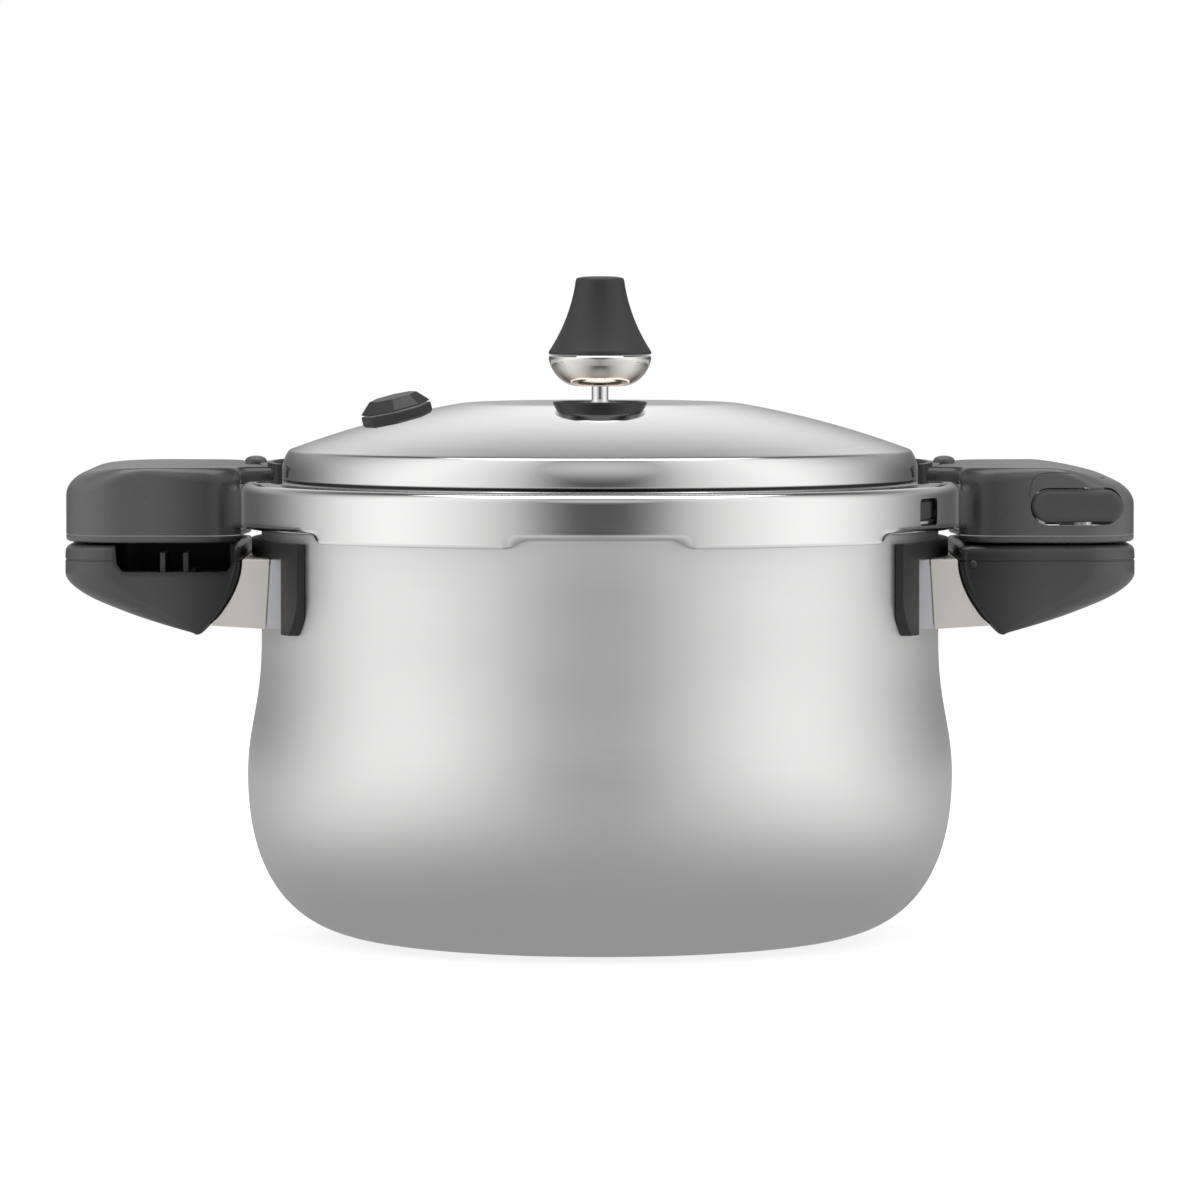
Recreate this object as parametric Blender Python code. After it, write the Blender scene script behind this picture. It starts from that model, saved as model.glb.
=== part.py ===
"""Stovetop pressure cooker, 22 cm, with a four-lug bayonet lid.

+Z is up, the base rests on z = 0 and the lid turns about the Z axis. The two handles lie along X and the
lid-lock button faces -Y. Sizes below are in millimetres; angles are in degrees, measured round +Z from -Y.
"""

import math

import bmesh
import bpy
import numpy as np
from mathutils import Matrix, Vector

MM = 0.001
GAP = 0.3                      # clearance left between touching pieces
TURN_STEP = 9                  # degrees between the sections of the large turned pieces

# Pot
NECK_R = 112.0                 # outer radius of the straight neck; 220 mm inside
BELLY_R = 116.7
BELLY_Z = 54.0
BASE_R = 71.0
WALL = 2.0
BASE_THICK = 3.0
NECK_START_Z = 99.0
RIM_Z = 139.4                  # top of the pot's rim
RIM_THICK = 1.4
RIM_R = 113.2                  # rim between the lugs
LUG_R = 115.9
LUG_ANGLES = (0.0, 63.6, 180.0, 243.6)
LUG_HALF = 17.0

# Lid
SHEET = 1.2                    # lid sheet thickness
CROWN_Z = 176.7                # flat crown of the dome
CROWN_R = 41.0
CREASE_R = 106.0               # where the rolled edge meets the flange
FLANGE_Z = 150.3
SHOULDER = 3.1                 # radius between the flange and the skirt
SKIRT_R = 118.5
SKIRT_Z = 133.0                # lower edge between the lips
SKIRT_BEND_Z = 140.0           # the skirt is plain above this height
LIP_Z = 135.7
LIP_R = 113.6                  # inner edge of the bent-in lips
LIP_SPANS = ((-12.6, 12.6), (51.0, 129.0), (167.4, 192.6), (231.0, 309.0))
LIP_BLEND = 2.6                # arc over which a lip blends into the plain skirt

# Steam vent and weight
VENT_Y = -55.0
SEAT_R = 17.3
SEAT_Z = 172.0
PIPE_R = 2.7
WEIGHT_Z = 183.2
WEIGHT_SEAM_Z = 193.2
WEIGHT_TOP_Z = 218.7
WEIGHT_R = 16.6

# Relief valve, along the dome's normal
RELIEF_XY = (-66.0, -24.0)

# Handles
GRIP_END_X = 174.7
POT_GRIP_END_X = 174.9
GRIP_HALF_Y = 46.0
LID_GRIP_Z = (134.5, 156.6)
GRIP_BASE_Z = (132.0, 134.2)
POT_GRIP_Z = (102.2, 131.2)
GRIP_WALL = 3.0
GRIP_SCREW_X = 146.0           # screw through the lid grip's base plate
POT_SCREW_X = 135.0            # screw from the pot grip into its carrier
BOLT_CLEARANCE = 0.4           # between the bolt's nose and the pot grip's top, at rest
CEILING_Z = 154.4              # inside of the lid grip's top
COLLAR_HALF_Y = 44.2           # ferrule and bracket cheeks
COLLAR_Z = (104.0, 126.6)
PAD_R = (112.3, 115.2)
PAD_OPEN_Y = 50.5
PAD_Z = (102.4, 132.2)
NECK_SCREW_X = 113.9
NECK_END_R = 110.3             # the neck's end follows the lid's rolled edge
NECK_ANGLE = 15.3
STRAP_R = (108.3, 109.9)       # lid bracket
STRAP_ANGLE = 16.5
STRAP_TOP_Z = 157.2

# Lid lock, in the right lid grip
BUTTON_X = 155.2
BUTTON_Z = 143.9
BUTTON_HALF_LENGTH = 14.6
BUTTON_HALF_HEIGHT = 5.3
BUTTON_GAP = 0.8
BOLT_XY = (158.5, -20.0)
BOLT_R = 3.0


# ---------------------------------------------------------------- materials

def finish(name, colour, roughness, metallic):
    made = bpy.data.materials.new(name)
    made.use_nodes = True
    shader = made.node_tree.nodes["Principled BSDF"]
    shader.inputs["Base Color"].default_value = (*colour, 1.0)
    shader.inputs["Roughness"].default_value = roughness
    shader.inputs["Metallic"].default_value = metallic
    made.diffuse_color = (*colour, 1.0)
    return made


def steel(name, roughness=0.2):
    return finish(name, (0.72, 0.72, 0.71), roughness, 1.0)


def bakelite(name, roughness=0.32):
    return finish(name, (0.016, 0.016, 0.017), roughness, 0.0)


def rubber(name):
    return finish(name, (0.42, 0.42, 0.43), 0.6, 0.0)


# ---------------------------------------------------------------- mesh tools

def clear_scene():
    for old in list(bpy.data.objects):
        bpy.data.objects.remove(old, do_unlink=True)


def add_object(name, mesh_builder, material=None):
    """A new object from a bmesh in millimetres."""
    bmesh.ops.recalc_face_normals(mesh_builder, faces=mesh_builder.faces)
    bmesh.ops.scale(mesh_builder, vec=(MM, MM, MM), verts=mesh_builder.verts)
    mesh = bpy.data.meshes.new(name)
    mesh_builder.to_mesh(mesh)
    mesh_builder.free()
    obj = bpy.data.objects.new(name, mesh)
    bpy.context.collection.objects.link(obj)
    if material:
        mesh.materials.append(material)
    return obj


def boolean(target, tool, operation="DIFFERENCE"):
    """Applies an exact Boolean and removes the tool object."""
    modifier = target.modifiers.new(operation.lower(), "BOOLEAN")
    modifier.operation = operation
    modifier.solver = "EXACT"
    modifier.object = tool
    graph = bpy.context.evaluated_depsgraph_get()
    result = bpy.data.meshes.new_from_object(target.evaluated_get(graph))
    target.modifiers.clear()
    target.data = result
    bpy.data.objects.remove(tool, do_unlink=True)


def smooth(obj, angle=32.0):
    obj.data.shade_smooth()
    obj.data.set_sharp_from_angle(angle=math.radians(angle))
    return obj


def bridge_rings(mesh_builder, rings, closed):
    """Faces between neighbouring rings of equal length, and caps at both ends if the stack is open."""
    count = len(rings)
    size = len(rings[0])
    for i in range(count if closed else count - 1):
        low, high = rings[i], rings[(i + 1) % count]
        for j in range(size):
            k = (j + 1) % size
            corners = [low[j], low[k], high[k], high[j]]
            unique = list(dict.fromkeys(corners))
            if len(unique) > 2:
                mesh_builder.faces.new(unique)
    if not closed:
        mesh_builder.faces.new(rings[0])
        mesh_builder.faces.new(rings[-1])


def lathe(outline, segments, centre=(0.0, 0.0)):
    """A closed (r, z) outline turned about the vertical through centre. Points at r = 0 stay single."""
    return lathe_by_angle([360.0 * i / segments for i in range(segments)], lambda _: outline, centre)


def lathe_by_angle(angles, outline_at, centre=(0.0, 0.0)):
    """A turned body whose (r, z) outline may change with the angle."""
    made = bmesh.new()
    poles = {}
    rings = []
    for angle in angles:
        across = math.sin(math.radians(angle))
        back = -math.cos(math.radians(angle))
        ring = []
        for r, z in outline_at(angle):
            if r == 0.0:
                if z not in poles:
                    poles[z] = made.verts.new((centre[0], centre[1], z))
                ring.append(poles[z])
            else:
                ring.append(made.verts.new((centre[0] + r * across, centre[1] + r * back, z)))
        rings.append(ring)
    bridge_rings(made, rings, closed=True)
    return made


def loft(levels):
    """A solid through closed rings of (x, y, z) points."""
    made = bmesh.new()
    rings = [[made.verts.new(point) for point in level] for level in levels]
    bridge_rings(made, rings, closed=False)
    return made


def prism(outline, low, high, axis="Z"):
    """An outline of two coordinates extruded along an axis; the outline's order is the other two axes."""
    def place(pair, height):
        first, second = pair
        return {"Z": (first, second, height), "Y": (first, height, second), "X": (height, first, second)}[axis]
    return loft([[place(pair, low) for pair in outline], [place(pair, high) for pair in outline]])


def block(low, high):
    outline = [(low[0], low[1]), (high[0], low[1]), (high[0], high[1]), (low[0], high[1])]
    return prism(outline, low[2], high[2])


def rod(radius, low, high, centre=(0.0, 0.0), segments=20):
    return lathe([(0.0, low), (radius, low), (radius, high), (0.0, high)], segments, centre)


def tube(inner, outer, low, high, centre=(0.0, 0.0), segments=24):
    return lathe([(inner, low), (outer, low), (outer, high), (inner, high)], segments, centre)


def hex_nut(bore, corner, low, high, centre=(0.0, 0.0)):
    """A six-sided nut with a round bore."""
    def outline_at(angle):
        outer = corner if angle % 60 == 0 else corner * math.cos(math.radians(30))
        return [(bore, low), (outer, low), (outer, high), (bore, high)]
    return lathe_by_angle(range(0, 360, 30), outline_at, centre)


def spring(radius, wire, low, high, turns, steps=8, sides=4):
    """A compression spring about Z at the origin."""
    made = bmesh.new()
    total = int(turns * steps)
    rise = (high - low - 2 * wire) / total
    rings = []
    for i in range(total + 1):
        turn = 2 * math.pi * i / steps
        middle = Vector((radius * math.cos(turn), radius * math.sin(turn), low + wire + rise * i))
        outward = Vector((math.cos(turn), math.sin(turn), 0.0))
        ring = []
        for j in range(sides):
            side = 2 * math.pi * j / sides
            offset = outward * (wire * math.cos(side)) + Vector((0, 0, wire * math.sin(side)))
            ring.append(made.verts.new(middle + offset))
        rings.append(ring)
    bridge_rings(made, rings, closed=False)
    return made


def moved(mesh_builder, matrix):
    bmesh.ops.transform(mesh_builder, matrix=matrix, verts=mesh_builder.verts)
    return mesh_builder


def mirrored(mesh_builder, sign):
    """The mesh on the +X side, or its mirror image on the -X side."""
    return moved(mesh_builder, Matrix.Diagonal((sign, 1.0, 1.0, 1.0)))


# ---------------------------------------------------------------- outlines

def arc(centre, radius, start, end, steps):
    """Points on a circle between two angles in degrees, both included."""
    turns = np.radians(np.linspace(start, end, steps + 1))
    return [(centre[0] + radius * math.cos(t), centre[1] + radius * math.sin(t)) for t in turns]


def bezier(a, b, c, d, steps):
    """Points on a cubic curve from a to d, both included."""
    points = []
    for t in np.linspace(0.0, 1.0, steps + 1):
        s = 1.0 - t
        weights = (s**3, 3 * s * s * t, 3 * s * t * t, t**3)
        points.append(tuple(sum(w * p[i] for w, p in zip(weights, (a, b, c, d))) for i in (0, 1)))
    return points


def rounded_plan(x_in, x_out, half_y, r_in, r_out, steps=5, dish=0.0):
    """A handle's outline from above: its inner side is hollowed by dish towards the middle."""
    points = arc((x_in + r_in, -half_y + r_in), r_in, 180, 270, steps)
    points += arc((x_out - r_out, -half_y + r_out), r_out, 270, 360, steps)
    points += arc((x_out - r_out, half_y - r_out), r_out, 0, 90, steps)
    points += arc((x_in + r_in, half_y - r_in), r_in, 90, 180, steps)
    straight = half_y - r_in
    points.append((x_in + 0.75 * dish, 0.5 * straight))
    points.append((x_in + dish, 0.0))
    points.append((x_in + 0.75 * dish, -0.5 * straight))
    return points


def at_height(points, z):
    return [(x, y, z) for x, y in points]


# ---------------------------------------------------------------- pot

def belly(inset, base_z):
    """The pot's side from the base up to the rim, moved inwards by inset."""
    side = BELLY_R - inset
    neck = NECK_R - inset
    base = BASE_R - 0.4 * inset
    low = bezier((base, base_z), (base + 32.0, base_z), (side, BELLY_Z - 33.0), (side, BELLY_Z), 6)
    start, end = (side, BELLY_Z), (neck, NECK_START_Z)
    high = bezier(start, (side, BELLY_Z + 16.0), (neck, NECK_START_Z - 22.0), end, 3)
    return low + high[1:]


def pot_outline(angle):
    on_lug = any(abs((angle - lug + 180.0) % 360.0 - 180.0) <= LUG_HALF for lug in LUG_ANGLES)
    rim = LUG_R if on_lug else RIM_R
    under = RIM_Z - RIM_THICK
    outer = [(0.0, 0.0)] + belly(0.0, 0.0)
    outer += [(NECK_R, under), (rim, under), (rim, RIM_Z - 0.4), (rim - 0.4, RIM_Z)]
    inner = [(NECK_R - WALL, RIM_Z)] + belly(WALL, BASE_THICK)[::-1] + [(0.0, BASE_THICK)]
    return outer + inner


def make_pot():
    edge = 0.15
    angles = set(float(a) for a in range(0, 360, TURN_STEP))
    for lug in LUG_ANGLES:
        for side in (-LUG_HALF, LUG_HALF):
            angles |= {(lug + side - edge) % 360.0, (lug + side + edge) % 360.0}
    pot = lathe_by_angle(sorted(angles), pot_outline)
    return smooth(add_object("pot_body", pot, steel("satin_steel", 0.28)))


def pot_grip_in_x(z):
    """The inner side of a pot grip leans outwards towards its tip."""
    drop = max(0.0, 127.0 - z)
    return 116.6 + 0.0215 * drop**2


def pot_grip_out_x(z):
    """The outer end falls away towards the tip in one long sweep."""
    drop = max(0.0, 121.0 - z)
    return POT_GRIP_END_X - 0.108 * drop**2 - 0.36 * drop


def pot_grip_ring(z, inset=0.0):
    x_in = pot_grip_in_x(z) + inset
    x_out = max(pot_grip_out_x(z) - inset, x_in + 2.6)
    room = 0.48 * (x_out - x_in)
    r_in = min(3.0, room)
    r_out = min(17.0 - inset, room)
    return at_height(rounded_plan(x_in, x_out, GRIP_HALF_Y - 0.4 - inset, r_in, r_out, steps=3), z)


def make_pot_grip(name, sign):
    low, high = POT_GRIP_Z
    heights = [low, 104.6, 108.4, 112.8, 117.4, 122.0, high - 2.0]
    rings = [pot_grip_ring(z) for z in heights]
    rings += [pot_grip_ring(high - 0.7, inset=0.5), pot_grip_ring(high, inset=2.2)]
    grip = add_object(name, mirrored(loft(rings), sign), bakelite(name + "_finish"))
    pocket_end = 152.0 if sign > 0 else 167.0
    pocket = rounded_plan(120.6, pocket_end, GRIP_HALF_Y - 3.6, 2.0, 12.0, steps=4)
    boolean(grip, add_object("cut", mirrored(prism(pocket, 117.0, high + 2.0), sign)))
    slot = block((112.0, -10.4, 117.0), (122.0, 10.4, 121.0))
    boolean(grip, add_object("cut", mirrored(slot, sign)))
    bore = [(0, 100.0), (3.9, 100.0), (3.9, 108.8), (2.3, 108.8), (2.3, 118.0), (0, 118.0)]
    bore = lathe(bore, 12, (POT_SCREW_X, 0.0))
    boolean(grip, add_object("cut", mirrored(bore, sign)))
    if sign > 0:
        keeper = rod(BOLT_R + 0.5, high - 4.5, high + 1.0, BOLT_XY, 16)
        boolean(grip, add_object("cut", keeper))
    else:
        notch = [(-157.6, high + 1.0), (-157.2, 125.0), (-155.4, 122.6), (-121.3, 122.6)]
        notch += [(-119.0, 125.5), (-118.6, high + 1.0)]
        boolean(grip, add_object("cut", prism(notch, -60.0, -41.8, axis="Y")))
        for x in (-142.4, -134.9):
            rib = block((x - 0.8, -40.6, 116.0), (x + 0.8, -22.0, 128.6))
            boolean(grip, add_object("rib", rib), "UNION")
    return smooth(grip)


def make_bracket(name, sign):
    """Steel carrier welded to the pot: cheeks against the wall, a box inside the ferrule and a tongue."""
    low, high = COLLAR_Z
    outer_y = COLLAR_HALF_Y
    bracket = block((100.0, -outer_y + 1.8, low + 1.8), (115.2, outer_y - 1.8, high - 1.8))
    bracket = add_object(name, bracket, steel(name + "_finish", 0.3))
    hollow = block((90.0, -outer_y + 3.3, low + 3.3), (113.6, outer_y - 3.3, high - 3.3))
    boolean(bracket, add_object("cut", hollow))
    cheek = [(99.0, low), (108.4, low), (107.0, high), (99.0, high)]
    for side in (-1, 1):
        plate = prism(cheek, side * (outer_y - 2.6), side * outer_y, axis="Y")
        boolean(bracket, add_object("cheek", plate), "UNION")
    tongue = block((114.0, -10.0, 117.3), (160.0 if sign < 0 else 150.0, 10.0, 120.5))
    boolean(bracket, add_object("tongue", tongue), "UNION")
    boolean(bracket, add_object("cut", rod(2.3, 110.0, 125.0, (POT_SCREW_X, 0.0), 16)))
    boolean(bracket, add_object("cut", rod(NECK_R + GAP, 90.0, 140.0, segments=90)))
    bracket.data.transform(Matrix.Diagonal((sign, 1.0, 1.0, 1.0)))
    if sign < 0:
        bracket.data.flip_normals()
    return bracket


def make_ferrule(name, sign):
    low, high = COLLAR_Z
    heights = np.linspace(high, low, 6)
    outline = [(107.4, high)] + [(pot_grip_in_x(z) - 0.4, z) for z in heights] + [(108.8, low)]
    box = prism(outline, -COLLAR_HALF_Y, COLLAR_HALF_Y, axis="Y")
    ferrule = add_object(name, box, steel(name + "_finish", 0.12))
    hollow = block((90.0, -COLLAR_HALF_Y + 1.4, low + 1.4), (140.0, COLLAR_HALF_Y - 1.4, high - 1.4))
    boolean(ferrule, add_object("cut", hollow))
    boolean(ferrule, add_object("cut", rod(NECK_R + 0.4, 90.0, 140.0, segments=90)))
    ferrule.data.transform(Matrix.Diagonal((sign, 1.0, 1.0, 1.0)))
    if sign < 0:
        ferrule.data.flip_normals()
    return ferrule


def make_pad(name, sign):
    """Heat-resistant frame hugging the wall round the ferrule, with a bar over its top."""
    reach = 31.8
    outline = arc((0.0, 0.0), PAD_R[0], -reach, reach, 10) + arc((0.0, 0.0), PAD_R[1], reach, -reach, 10)
    pad = add_object(name, prism(outline, *PAD_Z), bakelite(name + "_finish", 0.45))
    boolean(pad, add_object("cut", block((80.0, -PAD_OPEN_Y, 90.0), (140.0, PAD_OPEN_Y, COLLAR_Z[1] + GAP))))
    pad.data.transform(Matrix.Diagonal((sign, 1.0, 1.0, 1.0)))
    if sign < 0:
        pad.data.flip_normals()
    return smooth(pad)


def make_pot_grip_screw(name, sign):
    outline = [(0, 105.9), (3.2, 105.9), (3.5, 106.5), (3.5, 108.5), (2.0, 108.5), (2.0, 122.0), (0, 122.0)]
    return smooth(add_object(name, lathe(outline, 10, (sign * POT_SCREW_X, 0.0)), steel(name + "_finish", 0.3)))


# ---------------------------------------------------------------- lid

def dome(offset, steps=4):
    """The lid's section from the crown to the flange, moved along its normal by offset."""
    points = [(0.0, CROWN_Z + offset), (CROWN_R, CROWN_Z + offset)]
    slope = 10.0
    bend = 40.0
    points.append((CROWN_R + (bend + offset) * math.sin(math.radians(slope)),
                   CROWN_Z - bend + (bend + offset) * math.cos(math.radians(slope))))
    x0 = CROWN_R + bend * math.sin(math.radians(slope))
    z0 = CROWN_Z - bend * (1 - math.cos(math.radians(slope)))
    radius = 310.0
    cx = x0 - radius * math.sin(math.radians(slope))
    cz = z0 - radius * math.cos(math.radians(slope))
    last = 20.4
    for a in np.linspace(slope, last, steps)[1:]:
        turn = math.radians(a)
        points.append((cx + (radius + offset) * math.sin(turn), cz + (radius + offset) * math.cos(turn)))
    edge = 5.2
    turn = math.radians(last)
    ex = cx + (radius - edge) * math.sin(turn)
    ez = cz + (radius - edge) * math.cos(turn)
    for a in np.radians((45.0, 75.0, 105.0, 130.0)):
        points.append((ex + (edge + offset) * math.sin(a), ez + (edge + offset) * math.cos(a)))
    return points


def skirt_foot(angle):
    """How far the skirt is bent in at this angle: 1 on a lip, 0 between lips."""
    best = 0.0
    for low, high in LIP_SPANS:
        middle, half = (low + high) / 2, (high - low) / 2
        away = abs((angle - middle + 180.0) % 360.0 - 180.0) - half
        t = min(1.0, max(0.0, 0.5 - away / LIP_BLEND))
        best = max(best, t * t * (3 - 2 * t))
    return best


def lid_outline(angle):
    bent = skirt_foot(angle)
    bend = SKIRT_BEND_Z - LIP_Z
    inner_r = SKIRT_R - SHEET
    lip = arc((SKIRT_R - bend, SKIRT_BEND_Z), bend, 0, -90, 3)
    lip += [(LIP_R, LIP_Z), (LIP_R, LIP_Z + SHEET)]
    lip += arc((SKIRT_R - bend, SKIRT_BEND_Z), bend - SHEET, -90, 0, 2)
    heights = (SKIRT_BEND_Z, 137.8, 135.6, 133.5)
    plain = [(SKIRT_R, z) for z in heights] + [(SKIRT_R - 0.4, SKIRT_Z), (inner_r + 0.3, SKIRT_Z)]
    plain += [(inner_r, z) for z in (133.5, 136.6, SKIRT_BEND_Z)]
    foot = [tuple(bent * a + (1 - bent) * b for a, b in zip(p, q)) for p, q in zip(lip, plain)]
    corner = (SKIRT_R - SHOULDER, FLANGE_Z - SHOULDER)
    upper = dome(0.0) + [(CREASE_R, FLANGE_Z + 1.2), (CREASE_R + 0.2, FLANGE_Z + 0.4)]
    upper.append((CREASE_R + 1.0, FLANGE_Z))
    upper += arc(corner, SHOULDER, 90, 0, 3)
    under = arc(corner, SHOULDER - SHEET, 0, 90, 2)
    under += [(CREASE_R + 0.4, FLANGE_Z - SHEET), (CREASE_R - SHEET, FLANGE_Z - 0.2)]
    under += [(CREASE_R - SHEET, FLANGE_Z + 1.6)]
    return upper + foot + under + dome(-SHEET, 3)[::-1]


def dome_height(r):
    """Height of the lid's outer surface at a radius on the dome."""
    points = dome(0.0)
    return float(np.interp(r, [p[0] for p in points], [p[1] for p in points]))


def make_lid():
    angles = set(float(a) for a in range(0, 360, TURN_STEP))
    for low, high in LIP_SPANS:
        for end in (low, high):
            angles |= {(end + s * LIP_BLEND / 2) % 360.0 for s in (-0.9, 0.9)}
    lid = lathe_by_angle(sorted(angles), lid_outline)
    lid = add_object("lid_shell", lid, steel("polished_steel", 0.12))
    core = dome(-0.02) + [(CREASE_R - 4, 152.0), (0.0, 152.0)]
    cup = add_object("cup", lathe([(0, 170.8), (SEAT_R + 1.2, 170.8), (SEAT_R + 1.2, 182.0), (0, 182.0)],
                                  24, (0.0, VENT_Y)))
    boolean(cup, add_object("core", lathe(core, 40)), "INTERSECT")
    boolean(lid, cup, "UNION")
    boolean(lid, add_object("cut", rod(SEAT_R, SEAT_Z, 185.0, (0.0, VENT_Y), 24)))
    boolean(lid, add_object("cut", rod(3.3, 165.0, 185.0, (0.0, VENT_Y), 12)))
    boolean(lid, add_object("cut", moved(rod(5.3, -8.0, 8.0, segments=16), relief_frame())))
    window = rounded_plan(-7.0, 7.0, 4.4, 1.8, 1.8, steps=3)
    cutter = prism([(x, z) for x, z in window], -10.0, 10.0, axis="Y")
    place = Matrix.Rotation(math.radians(64.2), 4, "Z") @ Matrix.Translation((0.0, -SKIRT_R, 142.4))
    boolean(lid, add_object("cut", moved(cutter, place)))
    return smooth(lid)


def relief_frame():
    """The relief valve's frame: its origin on the dome, its Z along the dome's normal."""
    x, y = RELIEF_XY
    r = math.hypot(x, y)
    step = 2.0
    slope = (dome_height(r + step) - dome_height(r - step)) / (2 * step)
    normal = Vector((-slope * x / r, -slope * y / r, 1.0)).normalized()
    turn = Vector((0, 0, 1)).rotation_difference(normal).to_matrix().to_4x4()
    return Matrix.Translation((x, y, dome_height(r))) @ turn


def make_gasket():
    low, high = RIM_Z + GAP, FLANGE_Z - SHEET - GAP
    out, mouth, web = SKIRT_R - SHEET - 0.5, 109.8, 114.4
    outline = [(out - 0.6, low), (out, low + 0.6), (out, high - 3.4), (out - 3.4, high), (mouth, high)]
    outline += [(mouth, high - 1.5), (web - 1.4, high - 2.0), (web - 1.0, low + 2.4)]
    outline += [(mouth, low + 1.6), (mouth, low)]
    return smooth(add_object("gasket", lathe(outline, 40), rubber("gasket_silicone")))


def ring_sector(inner, outer, half_angle, low, high, steps):
    """A curved plate on the +X side, round the Z axis."""
    outline = arc((0.0, 0.0), inner, -half_angle, half_angle, steps)
    outline += arc((0.0, 0.0), outer, half_angle, -half_angle, steps)
    return prism(outline, low, high)


def make_lid_bracket(name, sign):
    """Curved steel strap standing on the flange, with a tongue that the lid grip is screwed to."""
    foot_z = FLANGE_Z + GAP
    strap = ring_sector(*STRAP_R, STRAP_ANGLE, foot_z, STRAP_TOP_Z, 16)
    bracket = add_object(name, strap, steel(name + "_finish", 0.25))
    foot = ring_sector(STRAP_R[0], 113.6, 8.5, foot_z, foot_z + 1.4, 8)
    boolean(bracket, add_object("foot", foot), "UNION")
    boolean(bracket, add_object("tongue", block((109.0, -9.0, 152.6), (138.0, 9.0, 154.1))), "UNION")
    boolean(bracket, add_object("cut", rod(1.9, 145.0, 160.0, (NECK_SCREW_X, 0.0), 12)))
    bracket.data.transform(Matrix.Diagonal((sign, 1.0, 1.0, 1.0)))
    if sign < 0:
        bracket.data.flip_normals()
    return bracket


def lid_grip_ring(z, end_inset, side_inset):
    x_in = 117.2 + side_inset
    plan = rounded_plan(x_in, GRIP_END_X - end_inset, GRIP_HALF_Y - side_inset, 12.0, 19.0, steps=4, dish=2.0)
    return at_height(plan, z)


def make_lid_grip(name, sign):
    low, high = LID_GRIP_Z
    rings = [lid_grip_ring(low, 0.0, 0.0), lid_grip_ring(146.4, 0.0, 0.0)]
    for share in (0.5, 0.8, 0.95, 1.0):
        drop = math.sqrt(1.0 - share**2)
        z = high - 10.0 + 10.0 * share
        rings.append(lid_grip_ring(z, 14.0 * (1.0 - drop), 2.6 * (1.0 - drop)))
    grip = add_object(name, mirrored(loft(rings), sign), bakelite(name + "_finish"))
    neck = arc((0.0, 0.0), NECK_END_R, -NECK_ANGLE, NECK_ANGLE, 10)
    neck += [(112.0, 32.0), (124.0, 34.0), (124.0, -34.0), (112.0, -32.0)]
    boolean(grip, add_object("neck", mirrored(prism(neck, FLANGE_Z + 0.7, high - 0.1), sign)), "UNION")
    wall = GRIP_WALL
    cavity = rounded_plan(119.4 + wall, GRIP_END_X - wall, GRIP_HALF_Y - wall, 9.0, 16.0, steps=3)
    tall = add_object("cut", mirrored(prism(cavity, low - 2.0, 147.0), sign))
    boolean(grip, tall)
    upper = rounded_plan(119.4 + wall, GRIP_END_X - 11.0, GRIP_HALF_Y - 5.5, 9.0, 9.0, steps=3)
    boolean(grip, add_object("cut", mirrored(prism(upper, 146.0, CEILING_Z), sign)))
    slot = block((105.0, -17.2, 149.0), (126.0, 17.2, CEILING_Z))
    boolean(grip, add_object("cut", mirrored(slot, sign)))
    boolean(grip, add_object("cut", rod(1.9, 145.0, 160.0, (sign * NECK_SCREW_X, 0.0), 12)))
    boss = rod(4.2, GRIP_BASE_Z[1] + GAP, CEILING_Z + 1.0, (sign * GRIP_SCREW_X, 0.0), 16)
    boolean(grip, add_object("boss", boss), "UNION")
    boolean(grip, add_object("cut", rod(1.8, low - 1.0, 149.0, (sign * GRIP_SCREW_X, 0.0), 12)))
    if sign > 0:
        boolean(grip, add_object("cut", stadium(BUTTON_GAP, -60.0, -33.0)))
        web = block((162.6, -25.0, low + GAP), (GRIP_END_X - 1.0, -23.0, 152.0))
        boolean(grip, add_object("web", web), "UNION")
    return smooth(grip)


def make_grip_base(name, sign):
    low, high = GRIP_BASE_Z
    rings = [lid_grip_ring(low, 1.0, 1.0), lid_grip_ring(low + 0.8, 0.0, 0.0), lid_grip_ring(high, 0.0, 0.0)]
    base = add_object(name, mirrored(loft(rings), sign), bakelite(name + "_finish", 0.4))
    bore = [(0, low - 1), (3.5, low - 1), (3.5, low + 1.2), (1.8, low + 1.2), (1.8, high + 1), (0, high + 1)]
    bore = lathe(bore, 14, (sign * GRIP_SCREW_X, 0.0))
    boolean(base, add_object("cut", bore))
    if sign > 0:
        boolean(base, add_object("cut", rod(BOLT_R + 0.4, low - 1.0, high + 1.0, BOLT_XY, 16)))
    return smooth(base)


def make_grip_screw(name, sign):
    """Screw from below, through the base plate into the boss."""
    low = GRIP_BASE_Z[0]
    outline = [(0, low + 0.1), (2.9, low + 0.1), (2.9, low + 0.9), (1.5, low + 0.9), (1.5, 147.0), (0, 147.0)]
    return add_object(name, lathe(outline, 10, (sign * GRIP_SCREW_X, 0.0)), steel(name + "_finish", 0.3))


def make_neck_screw(name, sign):
    """Round-headed screw from above, through the neck and the strap's tongue."""
    seat = LID_GRIP_Z[1] + 0.2
    outline = [(0, 151.7), (1.5, 151.7), (1.5, seat), (3.6, seat), (3.5, seat + 0.9)]
    outline += [(2.6, seat + 2.0), (0, seat + 2.4)]
    screw = lathe(outline, 14, (sign * NECK_SCREW_X, 0.0))
    return smooth(add_object(name, screw, bakelite(name + "_finish", 0.35)), 50)


# ---------------------------------------------------------------- steam vent and weight

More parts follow.
